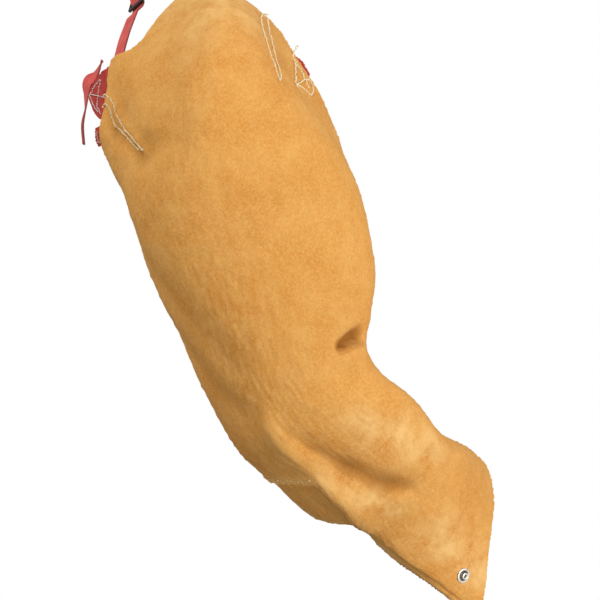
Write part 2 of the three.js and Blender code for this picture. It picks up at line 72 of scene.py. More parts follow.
# The rim round the cap: turn in degrees from the front over the outside, place, wrap inward and fullness.
RIM = table(
    "at x y z wrap full",
    front_strap=(15, 74, 36, -63, 62, 1.15),
    front_upper=(40, 57, 52, -35, 72, 1.25),
    front_top=(63, 37, 74, -12, 85, 1.36),
    neck=(86, -3, 90, 10, 86, 1.4),
    rear_top=(104, -34, 59, -6, 72, 1.3),
    rear_slope=(119, -57, 36, -32, 60, 1.18),
    rear_corner=(131, -75, 36, -47.5, 57, 1.1),
    lobe_top=(143, -88, 39, -61, 57, 1.05),
    lobe_middle=(158, -92, 33, -91, 56, 1.03),
    lobe_bottom=(176, -97, 34, -128, 60, 1.02),
    rear_underarm=(205, -74, 48, -167, 120, 1.05),
    inner_rear=(238, -26, 67, -176, 165, 1.1),
    armpit=(270, 26, 71, -175, 180, 1.1),
    inner_front=(302, 74, 63, -170, 165, 1.1),
    front_underarm=(330, 110, 45, -152, 135, 1.1),
    front_middle=(354, 95, 33, -98, 68, 1.1),
)

# The notch cut out of the rim at the rear: how many steps of the cap it takes away.
NOTCH = table(
    "at cut",
    neck=(92, 0),
    rear=(104, 3.5),
    slope=(117, 5),
    bend=(124, 11.5),
    deepest=(131, 15),
    lobe=(143, 0),
    end=(150, 0),
)
NOTCH_FADES = 60.0

# The cuff is cut straight as it is seen from the side: how much of the tube is cut away round its edge, and
# below 0 how much is left on.
CUFF_TRIM = table(
    "at cut",
    front=(58, 0),
    front_side=(70, 3.5),
    side=(82, 8.5),
    outside=(95, 10.5),
    rear_side=(105, 9.5),
    above_stud=(116, 5.5),
    stud=(128, 0),
    corner=(145, -5),
    seam=(165, -5),
    end=(205, 0),
)
CUFF_TRIM_FADES = 55.0

# Sections down the sleeve: its two outlines seen from the side, middle, half depth and turn of the outside.
SECTIONS = table(
    "at back_x back_z front_x front_z y deep yaw",
    armpit_ring=(0, -67, -200, 126, -181, 0, 68, 0),
    biceps=(26, -59, -228, 131, -202, 0, 67, 0),
    mid_arm=(71, -39, -273, 137, -244, 0, 64, 2),
    low_arm=(102, -24, -304, 133, -275, 0, 60, 5),
    bend=(138, -5, -344, 129, -305, 2, 56, 10),
    elbow=(179, 23, -392, 141, -327, 8, 54, 18),
    seam=(208, 48, -416, 157, -340, 18, 52, 24),
    bag=(247, 88, -452, 167, -352, 38, 49, 31),
    pinch=(295, 127, -463, 184, -378, 70, 45, 37),
    forearm=(340, 159, -492, 205, -390, 100, 40, 40),
    wrist=(372, 189, -513.4, 215, -396, 125, 34, 43),
    cuff=(415, 227, -543, 230, -408, 156, 28, 46),
)
CUFF_END = float(SECTIONS["at"][-1])

# How the sections change down the sleeve. Oval is 1 for an oval and less for a flattened tube with round
# corners, in the front half and in the under half. Lean is how far the front outline lies behind the middle,
# and the back outline before it. Tuck is how much the under half is drawn in.
SHAPES = table(
    "at oval oval_under lean tuck",
    ring=(0, 1, 1, 0, 0),
    elbow=(179, 1, 1, 0, 0),
    bag=(247, 0.8, 0.8, 4, 0.2),
    forearm=(320, 0.6, 0.5, 14, 0.85),
    wrist=(372, 0.6, 0.42, 25, 1),
    cuff=(415, 0.6, 0.4, 33, 1.2),
)

# The main folds, straight between two places on the sleeve, each fading over its reach.
MAIN_FOLDS = table(
    "turn_a down_a turn_b down_b reach rise",
    elbow_crease_inside=(-75, 140, -14, 137, 12, -4),
    elbow_crease_outside=(52, 127, 28, 123, 8, -7),
    lower_lip_inside=(-60, 166, -16, 160, 14, 2.5),
    lower_lip_outside=(51, 142, 30, 140, 9, 2.5),
    drag_valley_high=(126, 200, 122, 220, 11, -3),
    drag_valley_low=(118, 230, 110, 264, 13, -4),
    elbow_ridge=(132, 174, 134, 232, 15, 4),
    underside_ridge=(135, 240, 154, 286, 14, 4),
    elbow_bag=(180, 232, 186, 264, 18, 1),
    forearm_top_fold=(52, 268, 45, 325, 13, 2),
    rear_dart_rim=(158, -205, 163, -150, 18, -1),
    rear_dart_tip=(163, -140, 143, -58, 18, -3),
    front_dart=(57, -190, 54, -100, 12, -2),
    back_drag_high=(172, 20, 128, 120, 18, -3),
    back_drag_low=(176, 92, 140, 160, 16, -3),
)
# The length of one degree round the sleeve, which changes over a stretch at the elbow.
TURN_MM = {"upper_arm": 1.4, "forearm": 0.95, "from": 100, "to": 280}

# The finer folds and sewn tucks follow a path of places (turn, down). Left and right are their reach on each
# side of the path, walked in the order given and seen from outside.
FINE_FOLDS = {
    "elbow_pocket": dict(
        path=[(51, 129), (47, 128), (42, 126.5), (36, 126), (27, 126)],
        left=[1.6, 4, 8.5, 13, 12],
        right=1.6,
        rise=-6,
    ),
    "pocket_lip": dict(path=[(52, 134.5), (46, 133), (40, 131.5), (28, 132)], left=2.2, right=8, rise=2.6),
    "elbow_edge": dict(
        path=[(131, 170), (132, 196), (133, 215), (134, 240), (147, 266), (163, 292)],
        left=11,
        right=5,
        rise=2.2,
    ),
    "drag_valley": dict(
        path=[(122, 188), (120, 204), (115, 222), (109, 240), (107, 262), (106, 280)],
        left=12,
        right=5,
        rise=-3.4,
    ),
    "drag_valley_fades": dict(path=[(106, 284), (99, 309), (96, 330)], left=14, right=8, rise=-1.6),
    "front_edge_drag": dict(path=[(26, 6), (27, 31), (29, 58), (29, 90)], left=4, right=5, rise=-1.3),
    "forearm_top_ridge": dict(path=[(52, 268), (53, 289), (43, 332)], left=5, right=11, rise=1.4),
    "elbow_seam_lip": dict(
        path=[(186, 210.5), (170, 211), (151, 215), (141, 217)], left=3, right=3, rise=1.5
    ),
    "under_edge": dict(path=[(184, 318), (183, 352), (180, 384), (175, 416)], left=6, right=5, rise=1.7),
    "under_edge_shade": dict(
        path=[(168, 330), (167, 352), (164, 384), (159, 416)], left=6, right=11, rise=-2.4
    ),
    "rear_dart_tuck": dict(
        path=[(160, -197), (162.5, -168), (163, -140), (158.5, -112), (150, -85), (143, -64)],
        left=5,
        right=2.4,
        rise=1.6,
    ),
    "rear_dart_shadow": dict(
        path=[(166, -184), (169, -146), (165, -117), (156, -88), (147, -66)], left=2.4, right=7, rise=-2.2
    ),
    "front_dart_tuck": dict(path=[(55, -190), (53, -130), (52, -90)], left=4, right=4, rise=0.9),
    "dart_tip_dent": dict(path=[(139, -72), (128, -68), (117, -58)], left=15, right=13, rise=-2.6),
    "inner_crease_high": dict(path=[(-66, 126), (-40, 122), (-20, 122)], left=9, right=5, rise=-2.4),
    "inner_crease_low": dict(path=[(-72, 154), (-44, 153), (-24, 150)], left=5, right=9, rise=-2.2),
    "inner_forearm_drag": dict(path=[(-50, 178), (-64, 230), (-68, 290)], left=10, right=10, rise=-2),
    "inner_arm_drag": dict(path=[(250, 40), (262, 100), (276, 138)], left=16, right=12, rise=-2.2),
}

# Where the nap is painted pale, with the reach on each side of a path: partly rubbed wear and partly painted
# light on the cap, the forearm and the cuff, and painted highlight on the ridge, the lower edge and the elbow
# seam.
WORN_AND_LIT = {
    "cap": dict(path=[(92, -185), (84, -140)], left=30, right=30),
    "forearm": dict(path=[(80, 205), (66, 235), (62, 275)], left=20, right=20),
    "ridge": dict(path=[(134, 222), (126, 242), (122, 262), (128, 290)], left=9, right=9),
    "cuff": dict(path=[(120, 345), (125, 400)], left=20, right=16),
    "lower_edge": dict(path=[(181, 318), (180, 350), (177, 384), (172, 416)], left=5, right=6),
    "elbow_seam": dict(path=[(186, 209.5), (164, 211), (152, 213.5), (143, 217)], left=2.4, right=2.4),
}

# Where the nap is brushed into streaks.
BRUSHED = dict(path=[(118, 70), (115, 110), (124, 150)], left=38, right=38)

# Unevenness of the hide: how wide its humps are and how high they stand. It repeats after so many humps.
HIDE_UNEVENNESS = table("size height", slack=(52, 0.75), rumple=(21, 0.4), pebble=(8, 0.08))
HUMPS_REPEAT = 32


def hermite(start, start_slope, end, end_slope, t):
    t2 = t * t
    t3 = t2 * t
    ends = start * (2 * t3 - 3 * t2 + 1) + end * (3 * t2 - 2 * t3)
    return ends + start_slope * (t3 - 2 * t2 + t) + end_slope * (t3 - t2)


def between(rows, column, place, goes_round=False):
    """One column of a table at places between its rows, on a smooth curve through the rows."""
    at, value = rows["at"], rows[column]
    place = np.asarray(place, float)
    if goes_round:
        place = (place - at[0]) % 360 + at[0]
        at = np.concatenate([at - 360, at, at + 360])
        value = np.tile(value, 3)
    i = np.clip(np.searchsorted(at, place, side="right") - 1, 0, len(at) - 2)
    before = np.maximum(i - 1, 0)
    after = np.minimum(i + 2, len(at) - 1)
    step = at[i + 1] - at[i]
    slope_here = (value[i + 1] - value[before]) / (at[i + 1] - at[before]) * step
    slope_next = (value[after] - value[i]) / (at[after] - at[i]) * step
    return hermite(value[i], slope_here, value[i + 1], slope_next, (place - at[i]) / step)


def unit(vectors):
    return vectors / np.linalg.norm(vectors, axis=-1, keepdims=True)


def smoothstep(value, low, high):
    t = np.clip((value - low) / (high - low), 0, 1)
    return t * t * (3 - 2 * t)


def arm_point(turn, down):
    back_x, back_z, front_x, front_z, y, deep, yaw = (
        between(SECTIONS, column, down) for column in SECTIONS.dtype.names[1:]
    )
    across = np.cos(np.radians(turn))
    side = np.sin(np.radians(turn))
    oval = np.where(across < 0, between(SHAPES, "oval_under", down), between(SHAPES, "oval", down))
    out = deep * np.sign(side) * np.abs(side) ** oval
    yaw = np.radians(yaw)
    tuck = between(SHAPES, "tuck", down) * np.minimum(across, 0) ** 2
    x = (back_x + front_x) / 2 + (front_x - back_x) / 2 * across + np.sin(yaw) * out * (1 - tuck)
    z = (back_z + front_z) / 2 + (front_z - back_z) / 2 * across
    y = y + between(SHAPES, "lean", down) * across - np.cos(yaw) * out
    return np.stack([x, y, z], -1)


def rim_point(turn):
    return np.stack([between(RIM, axis, turn, True) for axis in "xyz"], -1)


def rim_heading(turn):
    """The way the leather heads where it is cut off at the rim."""
    rim = rim_point(turn)
    wrap = np.radians(between(RIM, "wrap", turn, True))
    level = np.zeros_like(wrap)
    away = unit(np.stack([rim[..., 0] - CAP_MIDDLE[0], level, rim[..., 2] - CAP_MIDDLE[1]], -1))
    leans = np.where((wrap < np.pi / 2)[..., None], away, [0.0, 0.0, -1.0])
    return leans * np.cos(wrap)[..., None] + np.stack([level, np.sin(wrap), level], -1)


def cap_span(turn):
    ring = arm_point(turn, np.zeros_like(turn))
    return np.linalg.norm(ring - rim_point(turn), axis=-1) * between(RIM, "full", turn, True)


def sleeve_point(turn, down):
    """The outside before folds. The cap runs from -CAP_LENGTH at the rim to 0 at the armpit ring."""
    rim, heading = rim_point(turn), rim_heading(turn)
    ring = arm_point(turn, np.zeros_like(turn))
    rise = unit(ring - arm_point(turn, np.full_like(turn, RING_RISE)))
    span = cap_span(turn)[..., None]
    share = np.clip(-down / CAP_LENGTH, 0, 1)[..., None]
    cap = hermite(ring, rise * span, rim, heading * span, share)
    past_rim = rim + heading * np.maximum(-CAP_LENGTH - down, 0)[..., None]
    upper = np.where((down < -CAP_LENGTH)[..., None], past_rim, cap)
    return np.where((down >= 0)[..., None], arm_point(turn, np.maximum(down, 0)), upper)


def facing_of(surface, turn, down, turn_step, down_step):
    """The way a surface faces, from how it runs round the sleeve and down it."""
    round_it = surface(turn + turn_step, down) - surface(turn - turn_step, down)
    below = np.minimum(down + down_step, CUFF_END)
    return unit(np.cross(round_it, surface(turn, below) - surface(turn, below - 2 * down_step)))


def sleeve_normal(turn, down):
    return facing_of(sleeve_point, turn, down, turn_step=0.5, down_step=1.0)


def fold_shape(turn, down, path, left, right):
    """1 on a fold's path, fading to 0 over its reach on each side."""
    per_turn = TURN_MM["upper_arm"] + (TURN_MM["forearm"] - TURN_MM["upper_arm"]) * smoothstep(
        down, TURN_MM["from"], TURN_MM["to"]
    )
    nearest = np.full(turn.shape, np.inf)
    left = np.broadcast_to(left, len(path))
    for k, ((turn_a, down_a), (turn_b, down_b)) in enumerate(zip(path[:-1], path[1:])):
        for lap in (-360, 0, 360):
            run_x = (turn_b - turn_a) * per_turn
            run_y = down_b - down_a
            off_x = (turn + lap - turn_a) * per_turn
            off_y = down - down_a
            along = np.clip((off_x * run_x + off_y * run_y) / (run_x**2 + run_y**2), 0, 1)
            left_here = left[k] + (left[k + 1] - left[k]) * along
            reach = np.where(run_x * off_y - run_y * off_x > 0, left_here, right)
            distance = np.hypot(off_x - along * run_x, off_y - along * run_y) / reach
            nearest = np.minimum(nearest, distance)
    return np.exp(-(nearest**2))


def main_rise(turn, down):
    rise = np.zeros(turn.shape)
    for fold in MAIN_FOLDS:
        path = [(fold.turn_a, fold.down_a), (fold.turn_b, fold.down_b)]
        rise += fold.rise * fold_shape(turn, down, path, fold.reach, fold.reach)
    return rise


def fine_rise(turn, down):
    rise = np.zeros(turn.shape)
    for fold in FINE_FOLDS.values():
        rise += fold["rise"] * fold_shape(turn, down, fold["path"], fold["left"], fold["right"])
    return rise


def worn_and_lit_share(turn, down):
    share = np.zeros(turn.shape)
    for spot in WORN_AND_LIT.values():
        share = np.maximum(share, fold_shape(turn, down, **spot))
    return share


def humps(points, size, seed):
    """Smooth unevenness from -1 to 1, its humps about this size across."""
    lattice = np.random.default_rng(seed).uniform(-1, 1, (HUMPS_REPEAT,) * 3)
    scaled = points / size
    low = np.floor(scaled).astype(int)
    part = scaled - low
    part = part * part * (3 - 2 * part)
    total = np.zeros(points.shape[:-1])
    for corner in np.ndindex(2, 2, 2):
        weight = np.prod(np.where(corner, part, 1 - part), axis=-1)
        i, j, k = np.moveaxis((low + corner) % HUMPS_REPEAT, -1, 0)
        total += weight * lattice[i, j, k]
    return total


def leather(turn, down, inset=0.0, fine=True):
    """Places on the leather, sunk below its outside by an inset."""
    turn, down = np.broadcast_arrays(np.asarray(turn, float), np.asarray(down, float))
    smooth = sleeve_point(turn, down)
    rise = main_rise(turn, down)
    if fine:
        rise = rise + fine_rise(turn, down)
        for seed, row in enumerate(HIDE_UNEVENNESS):
            rise = rise + row.height * humps(smooth, row.size, seed)
    return smooth + sleeve_normal(turn, down) * (rise - inset)[..., None]


def leather_facing(turn, down):
    """The way the finished leather faces."""
    turn, down = np.broadcast_arrays(np.asarray(turn, float), np.asarray(down, float))
    return facing_of(leather, turn, down, turn_step=0.8, down_step=1.2)


SEAT_TURN = np.array([88.0])
SEAT_DOWN = np.array([-178.0])
SEAT = leather(SEAT_TURN, SEAT_DOWN, LEATHER, fine=False)[0]


def to_frame(points):
    """Metres in the frame, whose origin is the seat inside the top of the cap."""
    return (np.asarray(points) - SEAT) * MM


# The grid of the leather: the seam column leaves the outside of the elbow and follows the lower outline to
# the cuff, and the seam row crosses the elbow. Cells past both belong to the panel under the forearm.
COLUMNS = 54
COLUMN_TURN = 360 / COLUMNS
SEAM_COLUMN = 21
INNER_SEAM_COLUMN = 40
INNER_SEAM_TURN = INNER_SEAM_COLUMN * COLUMN_TURN
SEAM_DOWN = 216.0
SEAM_TURN = table(
    "at turn",
    top=(0, 140),
    above_elbow=(205, 140),
    elbow=(222, 140),
    ridge=(243, 142),
    ridge_end=(267, 156),
    under=(303, 182),
    forearm=(345, 184),
    wrist=(380, 182),
    cuff=(415, 178),
)
SEAM_SLANT_REACH = 55
SEAM_SLANT = table(
    "at shift",
    front=(0, 0),
    outside=(141, 3),
    side=(160, -2.4),
    back=(180, -5.2),
    inner=(264, -8),
    round=(360, 0),
)
FINER = 5  # fine columns in each column of the grid


def grid_place(column, middle):
    """Turn and way down of places on the grid."""
    seam = between(SEAM_TURN, "turn", np.maximum(middle, 0))
    to_inner = (column - SEAM_COLUMN) / (INNER_SEAM_COLUMN - SEAM_COLUMN)
    turn = np.where(
        column <= SEAM_COLUMN,
        seam * column / SEAM_COLUMN,
        np.where(
            column <= INNER_SEAM_COLUMN,
            seam + (INNER_SEAM_TURN - seam) * to_inner,
            INNER_SEAM_TURN + (column - INNER_SEAM_COLUMN) * COLUMN_TURN,
        ),
    )
    near_seam = np.maximum(0, 1 - np.abs(middle - SEAM_DOWN) / SEAM_SLANT_REACH)
    near_rim = np.clip((NOTCH_FADES - CAP_LENGTH - middle) / NOTCH_FADES, 0, 1)
    notch = between(NOTCH, "cut", np.clip(turn, NOTCH.at[0], NOTCH.at[-1]))
    near_cuff = np.clip((middle - CUFF_END + CUFF_TRIM_FADES) / CUFF_TRIM_FADES, 0, 1)
    trim = between(CUFF_TRIM, "cut", np.clip(turn, CUFF_TRIM.at[0], CUFF_TRIM.at[-1]))
    shift = between(SEAM_SLANT, "shift", turn) * near_seam + notch * near_rim - trim * near_cuff
    return turn, middle + shift


def new_object(name, data):
    made = bpy.data.objects.new(name, data)
    bpy.context.scene.collection.objects.link(made)
    return made


def mesh_piece(name, points, faces, material, numbers=None):
    """A smooth mesh piece from points in millimetres, with numbers on its points for the material."""
    faces = [np.asarray(group) for group in faces]
    used, renumbered = np.unique(np.concatenate([f.ravel() for f in faces]), return_inverse=True)
    mesh = bpy.data.meshes.new(name)
    corners, done = [], 0
    for group in faces:
        corners += renumbered[done : done + group.size].reshape(group.shape).tolist()
        done += group.size
    mesh.from_pydata(to_frame(points)[used].tolist(), [], corners)
    mesh.shade_smooth()
    for label, values in (numbers or {}).items():
        attribute = mesh.attributes.new(label, "FLOAT", "POINT")
        attribute.data.foreach_set("value", values[used].astype(np.float32))
    mesh.materials.append(material)
    return new_object(name, mesh)


def mark_sharp(piece, pairs):
    """Keeps the fold of the shading at the edges of a cut."""
    mesh = piece.data
    ends = np.empty(len(mesh.edges) * 2, int)
    mesh.edges.foreach_get("vertices", ends)
    keys = np.sort(ends.reshape(-1, 2), axis=1) @ [len(mesh.vertices), 1]
    wanted = np.sort(pairs, axis=1) @ [len(mesh.vertices), 1]
    sharp = mesh.attributes.new("sharp_edge", "BOOLEAN", "EDGE")
    sharp.data.foreach_set("value", np.isin(keys, wanted))


def wall(name, outer, inner, cells, closes, material, numbers=None, bulge=0.3):
    """A wall of two skins over the cells of a grid, with rounded cut edges where a cell has no neighbour."""
    wide, tall = outer.shape[:2]
    count = wide * tall
    number = np.arange(count).reshape(wide, tall)
    if closes:
        number = np.concatenate([number, number[:1]])
    centre = 0.25 * sum(
        outer.reshape(-1, 3)[number[di : di + cells.shape[0], dj : dj + cells.shape[1]]]
        for di, dj in np.ndindex(2, 2)
    )
    i, j = np.nonzero(cells)
    ring = [(i, j), (i + 1, j), (i + 1, j + 1), (i, j + 1)]
    a, b, c, d = (number[at] for at in ring)
    faces = [np.stack([a, b, c, d], 1), np.stack([a, d, c, b], 1) + count]
    push = np.zeros((count, 3))
    sharp = []
    # Each side of a cell: its first corner, its last corner and the step to the cell past it.
    sides = [
        ((0, 0), (1, 0), (0, -1)),
        ((1, 0), (1, 1), (1, 0)),
        ((1, 1), (0, 1), (0, 1)),
        ((0, 1), (0, 0), (-1, 0)),
    ]
    for start, end, step in sides:
        beside_i, beside_j = i + step[0], j + step[1]
        if closes:
            beside_i = beside_i % cells.shape[0]
        inside = (beside_i >= 0) & (beside_i < cells.shape[0]) & (beside_j >= 0) & (beside_j < cells.shape[1])
        bare = ~inside
        bare[inside] = ~cells[beside_i[inside], beside_j[inside]]
        first = number[i[bare] + start[0], j[bare] + start[1]]
        last = number[i[bare] + end[0], j[bare] + end[1]]
        skin = outer.reshape(-1, 3)
        out = unit((skin[first] + skin[last]) / 2 - centre[i[bare], j[bare]])
        np.add.at(push, first, out)
        np.add.at(push, last, out)
        faces.append(np.stack([last, first, first + 2 * count, last + 2 * count], 1))
        faces.append(np.stack([last + 2 * count, first + 2 * count, first + count, last + count], 1))
        sharp += [np.stack([first, last], 1), np.stack([first, last], 1) + count]
    length = np.linalg.norm(push, axis=1, keepdims=True)
    edge = (outer + inner).reshape(-1, 3) / 2 + bulge * push / np.maximum(length, 1e-9)
    points = np.concatenate([outer.reshape(-1, 3), inner.reshape(-1, 3), edge])
    values = {"cut": np.repeat([0.0, 0.0, 1.0], count)}
    for label, grid in (numbers or {}).items():
        values[label] = np.tile(grid.ravel(), 3)
    piece = mesh_piece(name, points, faces, material, values)
    used = np.unique(np.concatenate([f.ravel() for f in faces]))
    mark_sharp(piece, np.searchsorted(used, np.concatenate(sharp)))
    return piece


def colour(red, green, blue):
    """A colour as it is seen, 0 to 255, as a shader takes it."""
    shares = np.array([red, green, blue]) / 255
    straight = np.where(shares <= 0.04045, shares / 12.92, ((shares + 0.055) / 1.055) ** 2.4)
    return (*straight.tolist(), 1.0)


class Finish:
    """A material under construction: one shader, the place of its textures on the piece, and short calls
    that add and link its nodes."""

    def __init__(self, name, roughness, specular, metallic=0.0):
        self.material = bpy.data.materials.new(name)
        self.material.use_nodes = True
        self.tree = self.material.node_tree
        self.shader = self.tree.nodes["Principled BSDF"]
        self.shader.inputs["Roughness"].default_value = roughness
        self.shader.inputs["Specular IOR Level"].default_value = specular
        self.shader.inputs["Metallic"].default_value = metallic
        self.place = self.node("ShaderNodeTexCoord").outputs["Object"]

    def node(self, kind, settings=None, **links):
        made = self.tree.nodes.new(kind)
        for label, value in (settings or {}).items():
            if hasattr(made, label):
                setattr(made, label, value)
            else:
                made.inputs[label].default_value = value
        for label, source in links.items():
            self.tree.links.new(source, made.inputs[label.replace("_", " ")])
        return made

    def noise(self, scale, detail=3.0, rough=0.55, stretch=None):
        where = self.place
        if stretch:
            where = self.node("ShaderNodeMapping", {"Scale": stretch}, Vector=where).outputs["Vector"]
        settings = {"Scale": scale, "Detail": detail, "Roughness": rough}
        return self.node("ShaderNodeTexNoise", settings, Vector=where).outputs["Fac"]

    def spread(self, value, low, high, to_low=0.0, to_high=1.0):
        settings = {"From Min": low, "From Max": high, "To Min": to_low, "To Max": to_high}
        return self.node("ShaderNodeMapRange", settings, Value=value).outputs["Result"]

    def math(self, operation, first, second):
        made = self.tree.nodes.new("ShaderNodeMath")
        made.operation = operation
        for socket, value in zip(made.inputs, (first, second)):
            if isinstance(value, float):
                socket.default_value = value
            else:
                self.tree.links.new(value, socket)
        return made.outputs["Value"]

    def mix(self, share, first, second):
        made = self.tree.nodes.new("ShaderNodeMix")
        made.data_type = "RGBA"
        self.tree.links.new(share, made.inputs["Factor"])
        for label, value in (("A", first), ("B", second)):
            socket = [s for s in made.inputs if s.name == label and s.type == "RGBA"][0]
            if isinstance(value, tuple):
                socket.default_value = value
            else:
                self.tree.links.new(value, socket)
        return [s for s in made.outputs if s.type == "RGBA"][0]

    def number(self, label):
        return self.node("ShaderNodeAttribute", {"attribute_name": label}).outputs["Fac"]

    def link(self, source, socket):
        self.tree.links.new(source, self.shader.inputs[socket])

    def bump(self, height, strength, distance, under=None):
        made = self.node("ShaderNodeBump", {"Strength": strength, "Distance": distance}, Height=height)
        if under is not None:
            self.tree.links.new(under, made.inputs["Normal"])
        return made.outputs["Normal"]


SUEDE_TONES = {
    "deep": colour(212, 140, 60),
    "light": colour(222, 156, 74),
    "blotch": colour(232, 176, 100),
    "mottle": colour(192, 124, 46),
    "nap": colour(242, 194, 120),
    "dark_streak": colour(200, 128, 48),
    "pale_streak": colour(244, 200, 132),
    "worn_and_lit": colour(248, 206, 138),
    "painted_crease_shade": colour(140, 86, 26),
    "rubbed_and_lit_ridges": colour(236, 186, 112),
    "cut": colour(226, 178, 104),
    "painted_lap_shade": colour(146, 94, 36),
    "sheen": colour(255, 226, 170),
}


def golden_suede():
    """Split leather with a short nap: mottled gold, streaked by brushing and rubbed pale, with painted shade
    in creases and painted highlight on ridges and cuts.
    """
    suede = Finish("golden_suede", roughness=0.92, specular=0.1)
    suede.shader.inputs["Sheen Weight"].default_value = 0.18
    suede.shader.inputs["Sheen Roughness"].default_value = 0.45
    suede.shader.inputs["Sheen Tint"].default_value = SUEDE_TONES["sheen"]
    broad = suede.spread(suede.noise(scale=10, detail=3.0, rough=0.5), 0.36, 0.64)
    blotch = suede.spread(suede.noise(scale=38, detail=4.0, rough=0.6), 0.34, 0.68)
    mottle = suede.spread(suede.noise(scale=95, detail=4.0, rough=0.65), 0.3, 0.7)
    nap = suede.noise(scale=520, detail=4.0, rough=0.7)
    streak = suede.noise(scale=150, detail=3.0, rough=0.6, stretch=(1.0, 1.0, 0.16))
    brushed = suede.number("brushed")
    fold = suede.number("fold")
    patchy = suede.math("SUBTRACT", blotch, suede.math("MULTIPLY", mottle, 0.6))
    # How much of each tone lies over the ones before it.
    layers = {
        "blotch": suede.math("MULTIPLY", blotch, 0.6),
        "mottle": suede.math("MULTIPLY", mottle, 0.3),
        "nap": suede.spread(nap, 0.4, 0.7, 0.0, 0.55),
        "dark_streak": suede.math("MULTIPLY", brushed, suede.spread(streak, 0.48, 0.72, 0.0, 0.36)),
        "pale_streak": suede.math("MULTIPLY", brushed, suede.spread(streak, 0.5, 0.3, 0.0, 0.24)),
        # pale nap: partly rubbed wear, partly painted highlight on the lit ridge, the lower edge and the
        # elbow seam
        "worn_and_lit": suede.math("MULTIPLY", suede.number("worn_and_lit"), suede.spread(patchy, -0.4, 0.6, 0.0, 0.65)),
        # painted shade: the nap is darkened in the creases of the folds, where shade falls
        "painted_crease_shade": suede.spread(fold, -0.25, -0.85, 0.0, 0.82),
        # ridges of the folds paler: partly rubbed nap, partly painted highlight
        "rubbed_and_lit_ridges": suede.spread(fold, 0.12, 0.7, 0.0, 0.3),
        # cut edges a little paler: partly their raw tone, partly painted highlight
        "cut": suede.spread(suede.number("cut"), 0.15, 0.9, 0.0, 0.3),
        # painted shade on the lap's cut edge along the lower outline, where the fold shades it
        "painted_lap_shade": suede.spread(suede.number("lap"), 0.1, 0.9, 0.0, 0.8),
    }
    gold = suede.mix(broad, SUEDE_TONES["deep"], SUEDE_TONES["light"])
    for tone, share in layers.items():
        gold = suede.mix(share, gold, SUEDE_TONES[tone])
    suede.link(gold, "Base Color")
    grain = suede.bump(nap, 0.5, 0.0006)
    suede.link(suede.bump(mottle, 0.1, 0.001, under=grain), "Normal")
    return suede.material


SUEDE = golden_suede()
SEAM_ROW = 120  # rows of the grid above the elbow seam
FOREARM_ROWS = 57
LAP_SHADE_BELOW = 2  # a rise at which the painted crease shade and the pale ridges are close to full
DEEP_FOLD = 8.0  # a rise at which the nap is close to its deepest tone
fine_columns = np.arange(COLUMNS * FINER) / FINER
rows_above_seam = np.linspace(-CAP_LENGTH, SEAM_DOWN, SEAM_ROW + 1)
rows_below_seam = np.linspace(SEAM_DOWN, CUFF_END, FOREARM_ROWS + 1)
fine_rows = np.concatenate([rows_above_seam[:-1], rows_below_seam])


def leather_panel(name, inset, cells):
    turn, down = grid_place(*np.meshgrid(fine_columns, fine_rows, indexing="ij"))
    fold = np.tanh((main_rise(turn, down) + fine_rise(turn, down)) / DEEP_FOLD)
    lap = np.zeros(turn.shape)
    # The lap's cut edge is marked for painted shade.
    lap[SEAM_COLUMN * FINER, SEAM_ROW + LAP_SHADE_BELOW :] = 1
    brushed = fold_shape(turn, down, **BRUSHED)
    numbers = {"fold": fold, "worn_and_lit": worn_and_lit_share(turn, down), "brushed": brushed, "lap": lap}
    outer = leather(turn, down, inset)
    inner = leather(turn, down, inset + LEATHER)
    return wall(name, outer, inner, cells, True, SUEDE, numbers), outer, inner


def grid_cells(first_column, last_column, first_row):
    cells = np.zeros((COLUMNS * FINER, len(fine_rows) - 1), bool)
    cells[first_column:last_column, first_row:] = True
    return cells


under_cells = grid_cells(SEAM_COLUMN * FINER, INNER_SEAM_COLUMN * FINER, SEAM_ROW)
body, body_outer, body_inner = leather_panel("sleeve_body_suede", 0.0, ~under_cells)
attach(body, "root")
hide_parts("sleeve_body")

# Panel under the forearm
# A second piece of the same leather, from the elbow to the cuff along the underside.
# Its edges lie under the body's edges, where one row of stitches holds each lap.

LAP_COLUMNS = 1
LAP_ROWS = 4
lap_first = (SEAM_COLUMN - LAP_COLUMNS) * FINER
lap_last = (INNER_SEAM_COLUMN + LAP_COLUMNS) * FINER
lapped_cells = grid_cells(lap_first, lap_last, SEAM_ROW - LAP_ROWS)
under_panel, under_outer, under_inner = leather_panel(
    "forearm_under_panel_suede", LEATHER + SEWN_GAP, lapped_cells
)
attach(under_panel, "root")
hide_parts("forearm_under_panel")

# Seam stitching
# One row of tan thread along each lap of the two panels, and up the inner side where the body is closed into
# a tube. Along the lower outline the thread is a darker tan, as painted shade, the tone of the leather in
# shade there.

STITCH = {"bends": 7, "gap": 0.1, "arch": 0.85, "sunk": 0.4}  # gap in pitches, arch and sunk in thicknesses
PATH_STEPS = 300
THREAD_SIDES = 6
THREAD_ENDS = 0.72  # how thick a stitch is at its ends, for 1 in its middle
SAME_PLACE = 1e-4  # points with a smaller spacing count as one


def spacing(start, end, instead):
    """Root of the distance between points, or another value where they are one place."""
    apart = np.sqrt(np.linalg.norm(end - start, axis=-1, keepdims=True))
    return np.where(apart < SAME_PLACE, instead, apart)


def curve_through(points, share):
    """A smooth curve through points, at shares of the way from the first to the last."""
    points = np.asarray(points, float)
    spot = np.clip(np.asarray(share, float), 0, 1) * (len(points) - 1)
    i = np.minimum(spot.astype(int), len(points) - 2)
    padded = np.concatenate([[2 * points[0] - points[1]], points, [2 * points[-1] - points[-2]]])
    p0, p1, p2, p3 = (padded[i + k] for k in range(4))
    d1 = spacing(p1, p2, 1.0)
    d0 = spacing(p0, p1, d1)
    d2 = spacing(p2, p3, d1)
    slope1 = ((p1 - p0) / d0 - (p2 - p0) / (d0 + d1) + (p2 - p1) / d1) * d1
    slope2 = ((p2 - p1) / d1 - (p3 - p1) / (d1 + d2) + (p3 - p2) / d2) * d1
    return hermite(p1, slope1, p2, slope2, (spot - i)[..., None])


